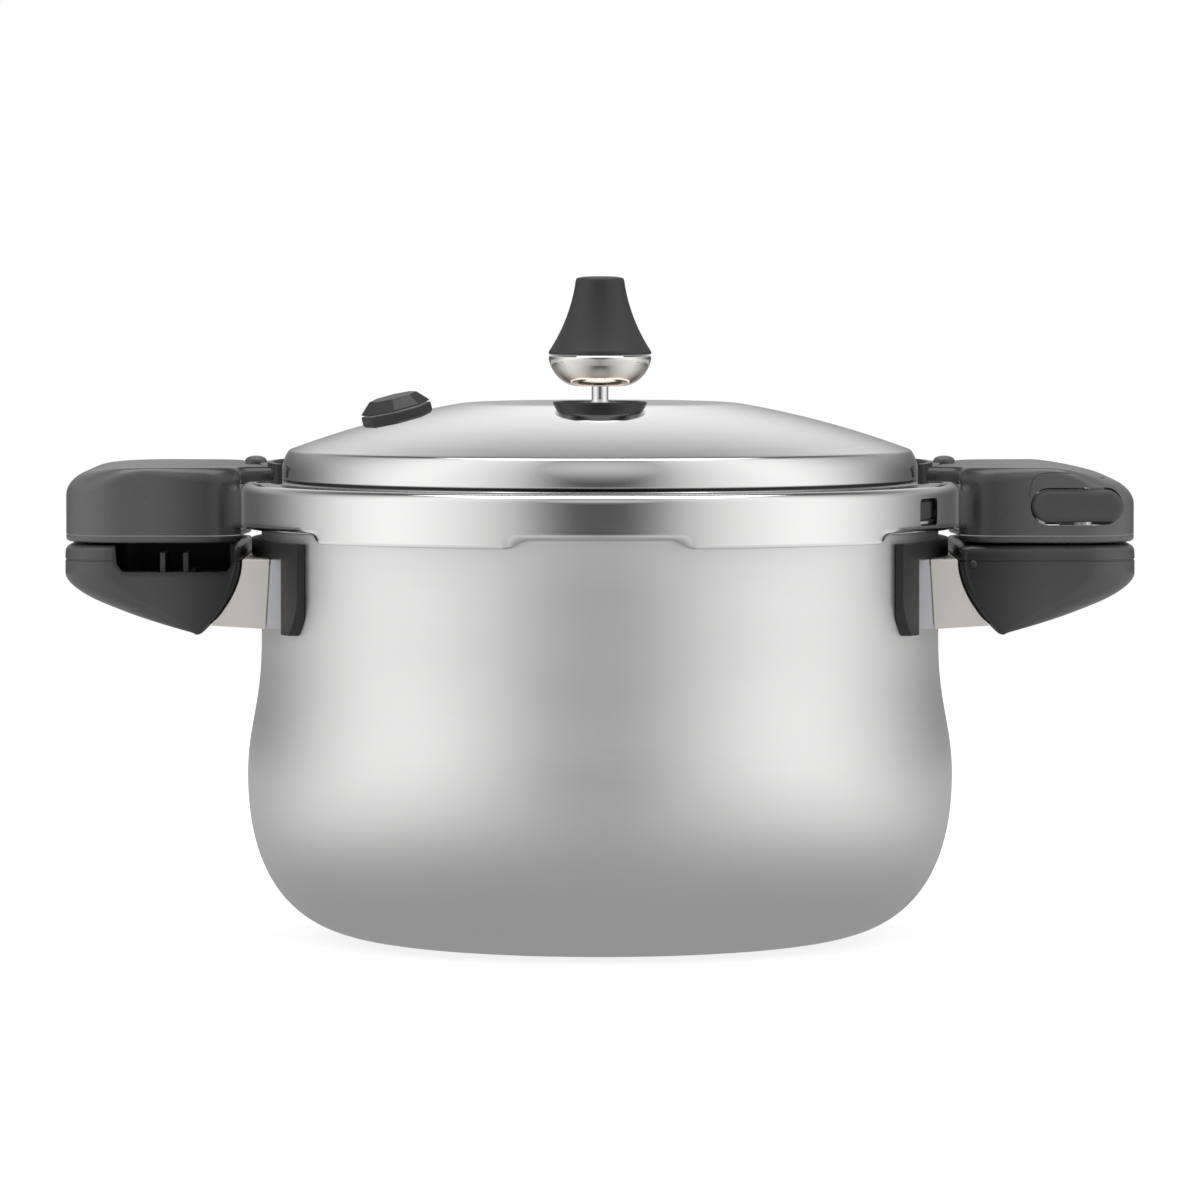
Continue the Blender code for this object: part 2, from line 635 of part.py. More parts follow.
def make_vent():
    at = (0.0, VENT_Y)
    floor = SEAT_Z + GAP
    dish = [(3.1, floor), (10.7, floor), (13.0, floor + 1.6), (14.6, floor + 3.7), (15.2, floor + 5.0)]
    dish += [(15.2, floor + 6.0), (14.2, floor + 6.0), (13.2, floor + 4.8), (11.0, floor + 3.0)]
    dish += [(8.0, floor + 2.2), (3.1, floor + 2.2)]
    smooth(add_object("vent_dish", lathe(dish, 24, at), bakelite("dish_finish")))
    collar = floor + 2.5
    pipe = [(1.3, 163.0), (2.8, 163.0), (2.8, collar), (4.6, collar), (4.6, collar + 2.2), (3.6, collar + 3.0)]
    pipe += [(PIPE_R, collar + 3.4), (PIPE_R, 188.9), (1.9, 190.0), (1.3, 190.0)]
    smooth(add_object("nozzle_pipe", lathe(pipe, 16, at), steel("nozzle_chrome", 0.1)))
    add_object("nozzle_seal", tube(3.1, 7.4, 169.4, 170.5, at, 14), rubber("nozzle_seal_silicone"))
    add_object("nozzle_nut", hex_nut(3.1, 6.6, 164.6, 169.1, at), steel("nozzle_nut_finish", 0.3))
    basket = [(0, 156.6), (4.6, 156.6), (5.6, 157.6), (5.6, 164.3), (4.8, 164.3), (4.8, 158.0), (0, 157.6)]
    smooth(add_object("vent_filter", lathe(basket, 14, at), steel("filter_finish", 0.3)))


def make_weight():
    at = (0.0, VENT_Y)
    bowl = [(3.1, WEIGHT_Z), (7.6, WEIGHT_Z)]
    bowl += bezier((7.6, WEIGHT_Z), (12.6, WEIGHT_Z + 0.4), (WEIGHT_R - 0.5, WEIGHT_Z + 5.0),
                   (WEIGHT_R, WEIGHT_SEAM_Z - 0.6), 5)[1:]
    bowl += [(WEIGHT_R - 0.4, WEIGHT_SEAM_Z - 0.1), (3.1, WEIGHT_SEAM_Z - 0.1)]
    smooth(add_object("weight_bowl", lathe(bowl, 24, at), steel("weight_chrome", 0.08)))
    seat = WEIGHT_SEAM_Z + 0.2
    cap = [(3.1, seat), (WEIGHT_R - 0.2, seat), (WEIGHT_R, seat + 0.8)]
    cap += bezier((WEIGHT_R - 0.1, seat + 1.2), (14.2, seat + 4.6), (9.4, 206.0), (7.8, WEIGHT_TOP_Z - 1.2), 6)
    cap += [(7.2, WEIGHT_TOP_Z - 0.2), (6.4, WEIGHT_TOP_Z), (0, WEIGHT_TOP_Z), (0, 206.0), (3.1, 206.0)]
    smooth(add_object("weight_cap", lathe(cap, 24, at), bakelite("weight_cap_finish", 0.45)), 40)
    pin = [(0, 190.3), (1.0, 190.5), (2.7, 192.2), (2.7, 205.6), (0, 205.6)]
    smooth(add_object("weight_pin", lathe(pin, 12, at), steel("weight_pin_finish", 0.2)))


# ---------------------------------------------------------------- relief valve

def make_relief_valve():
    place = relief_frame()

    def add(name, made, material):
        return smooth(add_object(name, moved(made, place), material), 25)

    base = [(5.75, 0.5), (7.6, 0.5), (11.6, 2.2), (11.9, 3.0), (11.7, 3.9), (5.75, 3.9)]
    add("relief_base", lathe(base, 8), bakelite("relief_base_finish"))
    cap = [(0, 8.1), (7.7, 8.1), (8.3, 7.7), (11.4, 4.5), (11.3, 4.2), (8.6, 4.2), (6.2, 7.2), (0, 7.2)]
    add("relief_cap", lathe(cap, 8), bakelite("relief_cap_finish"))
    add("relief_body", tube(2.6, 5.0, -9.0, 3.8, segments=14), steel("relief_body_finish", 0.25))
    add("relief_seal", tube(5.3, 7.6, -3.4, -2.2, segments=14), rubber("relief_seal_silicone"))
    add("relief_nut", hex_nut(5.3, 8.4, -7.0, -3.7), steel("relief_nut_finish", 0.3))
    stem = [(0, -17.0), (3.4, -17.0), (3.4, -16.0), (1.6, -16.0), (1.6, 4.1), (3.8, 4.1), (3.8, 5.1), (0, 5.1)]
    add("relief_plunger", lathe(stem, 12), steel("relief_plunger_finish", 0.2))
    add("relief_spring", spring(2.5, 0.35, -15.7, -9.3, 4), steel("relief_spring_finish", 0.25))


# ---------------------------------------------------------------- lid lock

def stadium(grow, low, high):
    """A round-ended bar along Y, centred on the button."""
    half = BUTTON_HALF_LENGTH - BUTTON_HALF_HEIGHT
    radius = BUTTON_HALF_HEIGHT + grow
    outline = arc((BUTTON_X + half, BUTTON_Z), radius, -90, 90, 8)
    outline += arc((BUTTON_X - half, BUTTON_Z), radius, 90, 270, 8)
    return prism(outline, low, high, axis="Y")


def make_lock():
    button = add_object("release_button", stadium(0.0, -46.4, -38.0), bakelite("button_finish", 0.25))
    ramp = [(-39.0, 139.0), (-24.0, 139.0), (-24.0, 141.0), (-31.0, 148.0), (-39.0, 148.0)]
    boolean(button, add_object("ramp", prism(ramp, 151.0, 154.8, axis="X")), "UNION")
    smooth(button)
    x, y = BOLT_XY
    shank = rod(BOLT_R, POT_GRIP_Z[1] + BOLT_CLEARANCE, 148.0, BOLT_XY, 18)
    bolt = add_object("lock_bolt", shank, steel("bolt_finish", 0.3))
    tab = [(-26.0, 143.45), (-18.0, 135.45), (-16.0, 135.45), (-16.0, 148.0), (-26.0, 148.0)]
    boolean(bolt, add_object("tab", prism(tab, 151.0, x - 0.5, axis="X")), "UNION")
    smooth(bolt)
    coil = moved(spring(2.3, 0.35, 148.3, CEILING_Z - GAP, 3), Matrix.Translation((x, y, 0.0)))
    add_object("bolt_spring", coil, steel("bolt_spring_finish", 0.25))
    lay = Matrix.Translation((166.0, -25.3, BUTTON_Z)) @ Matrix.Rotation(math.radians(90), 4, "X")
    coil = moved(spring(2.4, 0.35, 0.0, 12.4, 5), lay)
    add_object("button_spring", coil, steel("button_spring_finish", 0.25))


# ---------------------------------------------------------------- assembly

def joint_axis(name, position, names):
    """An empty on a joint's axis, with the pieces that move about it."""
    empty = bpy.data.objects.new(name, None)
    empty.location = Vector(position) * MM
    bpy.context.collection.objects.link(empty)
    for child in names:
        obj = bpy.data.objects[child]
        obj.parent = empty
        obj.matrix_parent_inverse = Matrix.Translation(-empty.location)
    return empty


def build():
    clear_scene()
    make_pot()
    make_lid()
    make_gasket()
    for side, sign in (("left", -1), ("right", 1)):
        make_bracket(f"{side}_pot_bracket", sign)
        make_pad(f"{side}_wall_pad", sign)
        make_ferrule(f"{side}_ferrule", sign)
        make_pot_grip(f"{side}_pot_grip", sign)
        make_pot_grip_screw(f"{side}_pot_grip_screw", sign)
        make_lid_bracket(f"{side}_lid_bracket", sign)
        make_lid_grip(f"{side}_lid_grip", sign)
        make_grip_base(f"{side}_grip_base", sign)
        make_grip_screw(f"{side}_grip_screw", sign)
        make_neck_screw(f"{side}_neck_screw", sign)
    make_vent()
    make_weight()
    make_relief_valve()
    make_lock()

    lid = ["lid_shell", "gasket", "vent_dish", "nozzle_pipe", "nozzle_seal", "nozzle_nut", "vent_filter"]
    lid += ["relief_base", "relief_cap", "relief_body", "relief_seal", "relief_nut"]
    lid += [f"{side}_{piece}" for side in ("left", "right")
            for piece in ("lid_bracket", "lid_grip", "grip_base", "grip_screw", "neck_screw")]
    joint_axis("lid_turn_axis", (0.0, 0.0, FLANGE_Z), lid)
    joint_axis("weight_lift_axis", (0.0, VENT_Y, WEIGHT_Z), ["weight_bowl", "weight_cap", "weight_pin"])
    joint_axis("relief_axis", relief_frame().translation, ["relief_plunger", "relief_spring"])
    joint_axis("button_axis", (BUTTON_X, -GRIP_HALF_Y, BUTTON_Z), ["release_button", "button_spring"])
    joint_axis("bolt_axis", (*BOLT_XY, GRIP_BASE_Z[0]), ["lock_bolt", "bolt_spring"])


build()
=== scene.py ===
"""The finished look of the stovetop pressure cooker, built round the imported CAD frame.

The frame is in metres, +Z up; the helpers below take millimetres. Angles are in degrees, measured round +Z
from -Y, the front.
"""

import math

import bmesh
import bpy
import numpy as np
from mathutils import Matrix, Vector


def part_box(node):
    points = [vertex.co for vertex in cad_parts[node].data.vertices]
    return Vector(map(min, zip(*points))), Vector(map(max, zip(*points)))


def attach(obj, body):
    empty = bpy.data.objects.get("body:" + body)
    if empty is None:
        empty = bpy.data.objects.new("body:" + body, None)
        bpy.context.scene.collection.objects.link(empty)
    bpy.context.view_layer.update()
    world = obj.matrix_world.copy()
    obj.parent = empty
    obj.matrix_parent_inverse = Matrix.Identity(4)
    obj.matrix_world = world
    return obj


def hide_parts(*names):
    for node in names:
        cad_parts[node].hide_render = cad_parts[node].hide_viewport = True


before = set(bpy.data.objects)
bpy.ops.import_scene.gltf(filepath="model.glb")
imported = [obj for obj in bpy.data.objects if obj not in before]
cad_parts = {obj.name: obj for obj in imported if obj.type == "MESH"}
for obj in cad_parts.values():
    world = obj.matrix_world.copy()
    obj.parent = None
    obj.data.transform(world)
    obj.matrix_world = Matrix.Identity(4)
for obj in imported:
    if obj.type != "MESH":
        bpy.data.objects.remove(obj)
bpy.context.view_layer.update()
MM = 0.001


def low(node):
    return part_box(node)[0] / MM


def high(node):
    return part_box(node)[1] / MM


# Sizes read from the frame
SKIRT_R = high("lid_shell").x
SKIRT_Z = low("lid_shell").z
CROWN_Z = high("lid_shell").z
BELLY_R = high("pot_body").x
RIM_Z = high("pot_body").z
GRIP_END_X = high("right_lid_grip").x
GRIP_HALF_Y = high("right_lid_grip").y
LID_GRIP_Z = (low("right_lid_grip").z, high("right_lid_grip").z)
BASE_Z = (low("right_grip_base").z, high("right_grip_base").z)
POT_GRIP_Z = (low("right_pot_grip").z, high("right_pot_grip").z)
POT_GRIP_END_X = high("right_pot_grip").x
COLLAR_HALF_Y = high("right_ferrule").y
COLLAR_Z = (low("right_ferrule").z, high("right_ferrule").z)
PAD_Z = (low("right_wall_pad").z, high("right_wall_pad").z)
VENT_Y = (low("vent_dish").y + high("vent_dish").y) / 2
DISH_Z = (low("vent_dish").z, high("vent_dish").z)
DISH_R = (high("vent_dish").x - low("vent_dish").x) / 2
WEIGHT_R = high("weight_bowl").x
WEIGHT_Z = low("weight_bowl").z
SEAM_Z = high("weight_bowl").z
WEIGHT_TOP_Z = high("weight_cap").z
BUTTON_X = (low("release_button").x + high("release_button").x) / 2
BUTTON_Z = high("release_button").z - 5.3

# Sizes the frame repeats from the design
NECK_R = 112.0
WALL = 2.0
BELLY_Z = 54.0
BASE_R = 71.0
LUG_ANGLES = (0.0, 63.6, 180.0, 243.6)
LUG_HALF = 17.0
LUG_R, RIM_R = 115.9, 113.2
SHEET = 1.2
CROWN_R = 41.0
CEILING_Z = 154.4
BEAD_POINTS = 19
LIP_BEND = 1.5
NECK_END_R = 110.3
CREASE_R = 106.0
FLANGE_Z = 150.3
SHOULDER = 3.1
LIP_Z, LIP_R = 135.7, 113.6
SKIRT_BEND_Z = 140.0
LIP_SPANS = ((-12.6, 12.6), (51.0, 129.0), (167.4, 192.6), (231.0, 309.0))
LIP_BLEND = 3.4
SEAT_Z = DISH_Z[0] - 0.3
SEAT_R = 12.2
SEAT_SLOPE = 1.36
SEAT_EDGE = 0.9
RELIEF_XY = (-66.0, -24.0)
NECK_SCREW_X = 113.9


# ---------------------------------------------------------------- shader tools

def new_material(name, colour, roughness, metallic=0.0, **more):
    made = bpy.data.materials.new(name)
    made.use_nodes = True
    shader = made.node_tree.nodes["Principled BSDF"]
    shader.inputs["Base Color"].default_value = (*colour, 1.0)
    shader.inputs["Roughness"].default_value = roughness
    shader.inputs["Metallic"].default_value = metallic
    for socket, value in more.items():
        shader.inputs[socket.replace("_", " ")].default_value = value
    return made, made.node_tree, shader


def add(tree, kind, **settings):
    node = tree.nodes.new(kind)
    for key, value in settings.items():
        if key in node.inputs:
            node.inputs[key].default_value = value
        else:
            setattr(node, key, value)
    return node


def math_node(tree, operation, a, b=None):
    node = add(tree, "ShaderNodeMath", operation=operation)
    for socket, value in zip(node.inputs, (a, b)):
        if value is None:
            continue
        if isinstance(value, (int, float)):
            socket.default_value = value
        else:
            tree.links.new(value, socket)
    return node.outputs[0]


def spread(tree, value, out_low, out_high):
    """Maps 0.3..0.7, where noise mostly lies, onto the given range."""
    node = add(tree, "ShaderNodeMapRange")
    tree.links.new(value, node.inputs["Value"])
    for socket, number in (("From Min", 0.3), ("From Max", 0.7), ("To Min", out_low), ("To Max", out_high)):
        node.inputs[socket].default_value = number
    return node.outputs["Result"]


def noise(tree, vector, scale, detail=3.0):
    node = add(tree, "ShaderNodeTexNoise", Scale=scale, Detail=detail)
    tree.links.new(vector, node.inputs["Vector"])
    return node.outputs["Fac"]


def bump(tree, shader, height, strength, distance):
    node = add(tree, "ShaderNodeBump", Strength=strength, Distance=distance)
    tree.links.new(height, node.inputs["Height"])
    tree.links.new(node.outputs["Normal"], shader.inputs["Normal"])


def brushed_vector(tree, centre=(0.0, 0.0), along=2.0, across=900.0):
    """Coordinates in which noise becomes fine lines running round a vertical axis through centre."""
    where = add(tree, "ShaderNodeTexCoord").outputs["Object"]
    split = add(tree, "ShaderNodeSeparateXYZ")
    tree.links.new(where, split.inputs[0])
    x = math_node(tree, "SUBTRACT", split.outputs["X"], centre[0] * MM)
    y = math_node(tree, "SUBTRACT", split.outputs["Y"], centre[1] * MM)
    radius = math_node(tree, "SQRT", math_node(tree, "ADD", math_node(tree, "MULTIPLY", x, x),
                                               math_node(tree, "MULTIPLY", y, y)))
    turn = math_node(tree, "ARCTAN2", x, y)
    join = add(tree, "ShaderNodeCombineXYZ")
    tree.links.new(math_node(tree, "MULTIPLY", turn, along), join.inputs["X"])
    tree.links.new(math_node(tree, "MULTIPLY", radius, across), join.inputs["Y"])
    tree.links.new(math_node(tree, "MULTIPLY", split.outputs["Z"], across), join.inputs["Z"])
    return where, join.outputs[0]


def height_share(tree, where, start, end):
    """0 below start, 1 above end, with soft ends; heights in millimetres."""
    split = add(tree, "ShaderNodeSeparateXYZ")
    tree.links.new(where, split.inputs[0])
    node = add(tree, "ShaderNodeMapRange", interpolation_type="SMOOTHSTEP")
    tree.links.new(split.outputs["Z"], node.inputs["Value"])
    node.inputs["From Min"].default_value = start * MM
    node.inputs["From Max"].default_value = end * MM
    return node.outputs["Result"]


def steel(name, colour, roughness, lines=0.0, vary=0.04, centre=(0.0, 0.0), anisotropy=0.0, metallic=1.0,
          satin_above=None, painted_reflection_tint=None, painted_shade_band=None):
    """Stainless steel: lines is the depth of the turned or brushed grain, in micrometres.

    satin_above is (start, end, extra roughness); the painted reflection tint below a height is (start, end,
    colour) and the painted shade band is (low, high, softness), all by height."""
    made, tree, shader = new_material(name, colour, roughness, metallic)
    where, turned = brushed_vector(tree, centre)
    grain = noise(tree, turned, 1.0, 4.0)
    patches = noise(tree, where, 18.0, 4.0)
    mixed = math_node(tree, "ADD", math_node(tree, "MULTIPLY", grain, 0.5),
                      math_node(tree, "MULTIPLY", patches, 0.5))
    rough = spread(tree, mixed, max(0.02, roughness - vary), roughness + vary)
    if satin_above:
        extra = math_node(tree, "MULTIPLY", height_share(tree, where, *satin_above[:2]), satin_above[2])
        rough = math_node(tree, "ADD", rough, extra)
    tree.links.new(rough, shader.inputs["Roughness"])
    tone = add(tree, "ShaderNodeMix", data_type="RGBA")
    tree.links.new(patches, tone.inputs["Factor"])
    tone.inputs["A"].default_value = (*[0.965 * c for c in colour], 1.0)
    tone.inputs["B"].default_value = (*colour, 1.0)
    shade = tone.outputs["Result"]
    # painted reflection: the colour shifts to the given warm colour below a height
    if painted_reflection_tint:
        tint = add(tree, "ShaderNodeMix", data_type="RGBA")
        tree.links.new(height_share(tree, where, *painted_reflection_tint[:2]), tint.inputs["Factor"])
        tint.inputs["A"].default_value = (*painted_reflection_tint[2], 1.0)
        tree.links.new(shade, tint.inputs["B"])
        shade = tint.outputs["Result"]
    # painted shade: the colour goes near-black within a band of heights, used for the lid's crease above the
    # flange
    if painted_shade_band:
        start, end, soft = painted_shade_band
        inside = math_node(tree, "SUBTRACT", height_share(tree, where, start - soft, start + soft),
                           height_share(tree, where, end - soft, end + soft))
        painted_shade_mix = add(tree, "ShaderNodeMix", data_type="RGBA")
        tree.links.new(math_node(tree, "MULTIPLY", inside, 0.85), painted_shade_mix.inputs["Factor"])
        tree.links.new(shade, painted_shade_mix.inputs["A"])
        painted_shade_mix.inputs["B"].default_value = (0.03, 0.03, 0.03, 1.0)
        shade = painted_shade_mix.outputs["Result"]
    tree.links.new(shade, shader.inputs["Base Color"])
    if lines:
        bump(tree, shader, grain, 1.0, lines * 1e-6)
    if anisotropy:
        shader.inputs["Anisotropic"].default_value = anisotropy
        tangent = add(tree, "ShaderNodeTangent", direction_type="RADIAL", axis="Z")
        tree.links.new(tangent.outputs["Tangent"], shader.inputs["Tangent"])
    return made


# Painted shade and light along a handle: tone from 0.3 of the shade at 116 mm from the pot's axis to 1.2 of
# it at 148 mm
PAINTED_END_SHADE = (("From Min", 0.116), ("From Max", 0.148), ("To Min", 0.3), ("To Max", 1.2))


def moulded(name, shade, roughness, grain=1.2, vary=0.05, scale=900.0, painted_end_shade=False, **more):
    """Moulded phenolic plastic: a fine skin grain, and gloss that varies a little over the piece.

    With the end-shade switch on, the tone rises along the handle from dark by the pot to pale at its tip:
    painted shade by the pot and painted light at the tip."""
    made, tree, shader = new_material(name, (shade, shade, shade * 1.03), roughness, 0.0, **more)
    where = add(tree, "ShaderNodeTexCoord").outputs["Object"]
    fine = noise(tree, where, scale, 2.0)
    cloud = noise(tree, where, 35.0, 3.0)
    tree.links.new(spread(tree, cloud, roughness - vary, roughness + vary), shader.inputs["Roughness"])
    tone = add(tree, "ShaderNodeMix", data_type="RGBA")
    tree.links.new(fine, tone.inputs["Factor"])
    tone.inputs["A"].default_value = (shade * 0.93, shade * 0.93, shade * 0.95, 1.0)
    tone.inputs["B"].default_value = (shade * 1.08, shade * 1.08, shade * 1.12, 1.0)
    shade_out = tone.outputs["Result"]
    # painted shade and light: the colour is darkened near the pot and lightened towards the handle's tip, by
    # distance along X
    if painted_end_shade:
        split = add(tree, "ShaderNodeSeparateXYZ")
        tree.links.new(where, split.inputs[0])
        along = add(tree, "ShaderNodeMapRange", interpolation_type="SMOOTHSTEP")
        tree.links.new(math_node(tree, "ABSOLUTE", split.outputs["X"]), along.inputs["Value"])
        for socket, number in PAINTED_END_SHADE:
            along.inputs[socket].default_value = number
        painted_end_tone = add(tree, "ShaderNodeMix", data_type="RGBA", blend_type="MULTIPLY", Factor=1.0)
        tree.links.new(shade_out, painted_end_tone.inputs["A"])
        tree.links.new(along.outputs["Result"], painted_end_tone.inputs["B"])
        shade_out = painted_end_tone.outputs["Result"]
    tree.links.new(shade_out, shader.inputs["Base Color"])
    bump(tree, shader, fine, 1.0, grain * 1e-6)
    return made


def silicone(name):
    made, tree, shader = new_material(name, (0.06, 0.06, 0.065), 0.5, 0.0, Subsurface_Weight=0.05)
    where = add(tree, "ShaderNodeTexCoord").outputs["Object"]
    cloud = noise(tree, where, 60.0, 3.0)
    tree.links.new(spread(tree, cloud, 0.45, 0.65), shader.inputs["Roughness"])
    bump(tree, shader, noise(tree, where, 1500.0, 2.0), 1.0, 3e-6)
    return made


def make_materials():
    # painted warm reflection for the bottom of the weight's chrome bowl
    painted_warm_reflection = (0.60, 0.51, 0.43)
    return {
        "pot": steel("satin_steel", (0.87, 0.87, 0.865), 0.42, lines=0.6, vary=0.03, anisotropy=0.25),
        # the lid's dark band at 150.6 to 151.9 mm is painted shade in the crease above the flange
        "lid": steel("polished_steel", (0.82, 0.82, 0.815), 0.11, lines=0.25, vary=0.02,
                     satin_above=(160.5, 163.0, 0.09), painted_shade_band=(150.6, 151.9, 0.15)),
        # the ferrules' pale, mostly matte steel is partly their own beige tint and partly a painted highlight
        # in place of a bright reflection
        "ferrule": steel("beige_painted_highlight_steel", (0.98, 0.93, 0.88), 0.4, lines=0.2, vary=0.03, metallic=0.2),
        "bracket": steel("plain_steel", (0.86, 0.88, 0.91), 0.34, lines=1.0, vary=0.05, metallic=0.4),
        "strap": steel("blackened_steel", (0.035, 0.035, 0.037), 0.3, lines=0.8, vary=0.05, metallic=0.3),
        "fastener": steel("turned_steel", (0.58, 0.58, 0.58), 0.26, lines=2.0, vary=0.05),
        "wire": steel("spring_wire", (0.45, 0.45, 0.46), 0.3, lines=1.0),
        "chrome": steel("weight_chrome", (0.82, 0.81, 0.79), 0.06, lines=0.2, vary=0.015,
                        centre=(0.0, VENT_Y),
                        painted_reflection_tint=(WEIGHT_Z, WEIGHT_Z + 9.0, painted_warm_reflection)),
        "nozzle": steel("nozzle_chrome", (0.80, 0.80, 0.80), 0.04, lines=0.1, vary=0.01,
                        centre=(0.0, VENT_Y)),
        # both handle materials carry painted shade by the pot and painted light at the tip
        "gloss": moulded("gloss_bakelite", 0.074, 0.24, grain=0.4, vary=0.04, painted_end_shade=True),
        # painted light: a paler copy of the same bakelite for the lid grips and their base plates, lighter
        # because more light falls on them
        "upper": moulded("lit_copy_grip_bakelite", 0.112, 0.26, grain=0.4, vary=0.04, painted_end_shade=True),
        "button": moulded("button_bakelite", 0.09, 0.6, Specular_IOR_Level=0.3),
        "satin": moulded("satin_bakelite", 0.030, 0.42, grain=3.0),
        # the neck screw caps' paler grey is a painted highlight on their domed tops
        "stud": moulded("painted_highlight_stud_bakelite", 0.11, 0.3),
        "dish": moulded("dish_bakelite", 0.018, 0.2, grain=1.0),
        "valve": moulded("valve_bakelite", 0.018, 0.38, grain=1.0),
        "cap": moulded("weight_cap_bakelite", 0.032, 0.46, grain=4.0, scale=1600.0),
        "silicone": silicone("grey_silicone"),
    }


# ---------------------------------------------------------------- mesh tools

def finish_piece(name, mesh_builder, material, sharp=35.0):
    """Turns a bmesh in millimetres into a smooth-shaded object in the frame."""
    bmesh.ops.remove_doubles(mesh_builder, verts=mesh_builder.verts, dist=1e-4)
    bmesh.ops.dissolve_degenerate(mesh_builder, dist=1e-5, edges=mesh_builder.edges)
    bmesh.ops.recalc_face_normals(mesh_builder, faces=mesh_builder.faces)
    bmesh.ops.scale(mesh_builder, vec=(MM, MM, MM), verts=mesh_builder.verts)
    mesh = bpy.data.meshes.new(name)
    mesh_builder.to_mesh(mesh)
    mesh_builder.free()
    mesh.materials.append(material)
    mesh.shade_smooth()
    mesh.set_sharp_from_angle(angle=math.radians(sharp))
    obj = bpy.data.objects.new(name, mesh)
    bpy.context.scene.collection.objects.link(obj)
    return obj


def grid(rings, stack_closed, caps=False):
    """A surface through rings of equal length, each ring closed on itself."""
    made = bmesh.new()
    rows = [[made.verts.new(p) for p in ring] for ring in rings]
    count, size = len(rows), len(rows[0])
    for i in range(count if stack_closed else count - 1):
        a, b = rows[i], rows[(i + 1) % count]
        for j in range(size):
            k = (j + 1) % size
            made.faces.new((a[j], a[k], b[k], b[j]))
    if caps:
        made.faces.new(rows[0])
        made.faces.new(rows[-1])
    return made


def turned(outline_at, segments, centre=(0.0, 0.0)):
    """A closed (r, z) outline turned about a vertical axis.

    outline_at is an outline or a function of the angle."""
    rings = []
    for i in range(segments):
        angle = 360.0 * i / segments
        outline = outline_at(angle) if callable(outline_at) else outline_at
        across, back = math.sin(math.radians(angle)), -math.cos(math.radians(angle))
        rings.append([(centre[0] + max(r, 0.0) * across, centre[1] + max(r, 0.0) * back, z) for r,
                      z in outline])
    return grid(rings, stack_closed=True)


def fillet(points, steps=5):
    """A closed outline of (a, b, radius) points with each corner rounded to its radius."""
    out = []
    count = len(points)
    for i, (a, b, radius) in enumerate(points):
        here = np.array((a, b), float)
        if radius <= 0:
            out.append((a, b))
            continue
        before = np.array(points[i - 1][:2], float) - here
        after = np.array(points[(i + 1) % count][:2], float) - here
        before_len, after_len = np.linalg.norm(before), np.linalg.norm(after)
        before, after = before / before_len, after / after_len
        corner = math.acos(max(-1.0, min(1.0, float(before @ after))))
        cut = min(radius / math.tan(corner / 2), 0.48 * before_len, 0.48 * after_len)
        for t in np.linspace(0.0, 1.0, steps + 1):
            p = here + before * cut * (1 - t) ** 2 + after * cut * t**2
            out.append((float(p[0]), float(p[1])))
    return out


def arc(centre, radius, start, end, steps):
    turns = np.radians(np.linspace(start, end, steps + 1))
    return [(centre[0] + radius * math.cos(t), centre[1] + radius * math.sin(t)) for t in turns]


def bezier(a, b, c, d, steps):
    points = []
    for t in np.linspace(0.0, 1.0, steps + 1):
        s = 1.0 - t
        weights = (s**3, 3 * s * s * t, 3 * s * t * t, t**3)
        points.append(tuple(sum(w * p[i] for w, p in zip(weights, (a, b, c, d))) for i in (0, 1)))
    return points


def smoothstep(x, start, end):
    t = min(1.0, max(0.0, (x - start) / (end - start)))
    return t * t * (3 - 2 * t)


def prism(outline, start, end, axis="Z"):
    """An outline extruded along an axis; its two coordinates are the other two axes in order."""
    def place(pair, at):
        return {"Z": (*pair, at), "Y": (pair[0], at, pair[1]), "X": (at, *pair)}[axis]
    return grid([[place(p, start) for p in outline], [place(p, end) for p in outline]], False, caps=True)


def block(a, b):
    return prism([(a[0], a[1]), (b[0], a[1]), (b[0], b[1]), (a[0], b[1])], a[2], b[2])


def moved(mesh_builder, matrix):
    bmesh.ops.transform(mesh_builder, matrix=matrix, verts=mesh_builder.verts)
    return mesh_builder


def mirrored(mesh_builder, sign):
    return moved(mesh_builder, Matrix.Diagonal((sign, 1.0, 1.0, 1.0)))


def boolean(target, tool_builder, operation="DIFFERENCE"):
    tool = finish_piece("tool", tool_builder, target.data.materials[0])
    modifier = target.modifiers.new("boolean", "BOOLEAN")
    modifier.operation = operation
    modifier.solver = "EXACT"
    modifier.object = tool
    graph = bpy.context.evaluated_depsgraph_get()
    mesh = bpy.data.meshes.new_from_object(target.evaluated_get(graph))
    target.modifiers.clear()
    target.data = mesh
    bpy.data.objects.remove(tool, do_unlink=True)
    mesh.shade_smooth()
    mesh.set_sharp_from_angle(angle=math.radians(35.0))


def soften(obj, width, segments=3, angle=32.0):
    """Rounds the edges of a piece and keeps its flat faces flat."""
    bevel = obj.modifiers.new("edges", "BEVEL")
    bevel.width = width * MM
    bevel.segments = segments
    bevel.limit_method = "ANGLE"
    bevel.angle_limit = math.radians(angle)
    bevel.harden_normals = True
    return obj


def place_piece(obj, body, node, mirrored_in_steel=True):
    """Rides on a body and stands for a CAD node."""
    obj.visible_glossy = mirrored_in_steel
    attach(obj, body)
    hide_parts(node)
    return obj


# ---------------------------------------------------------------- pot

def belly(inset, base_z):
    side, neck, base = BELLY_R - inset, NECK_R - inset, BASE_R - 0.4 * inset
    lower = bezier((base, base_z), (base + 32.0, base_z), (side, BELLY_Z - 33.0), (side, BELLY_Z), 30)
    upper = bezier((side, BELLY_Z), (side, BELLY_Z + 16.0), (neck, 77.0), (neck, 99.0), 16)
    return lower + upper[1:]


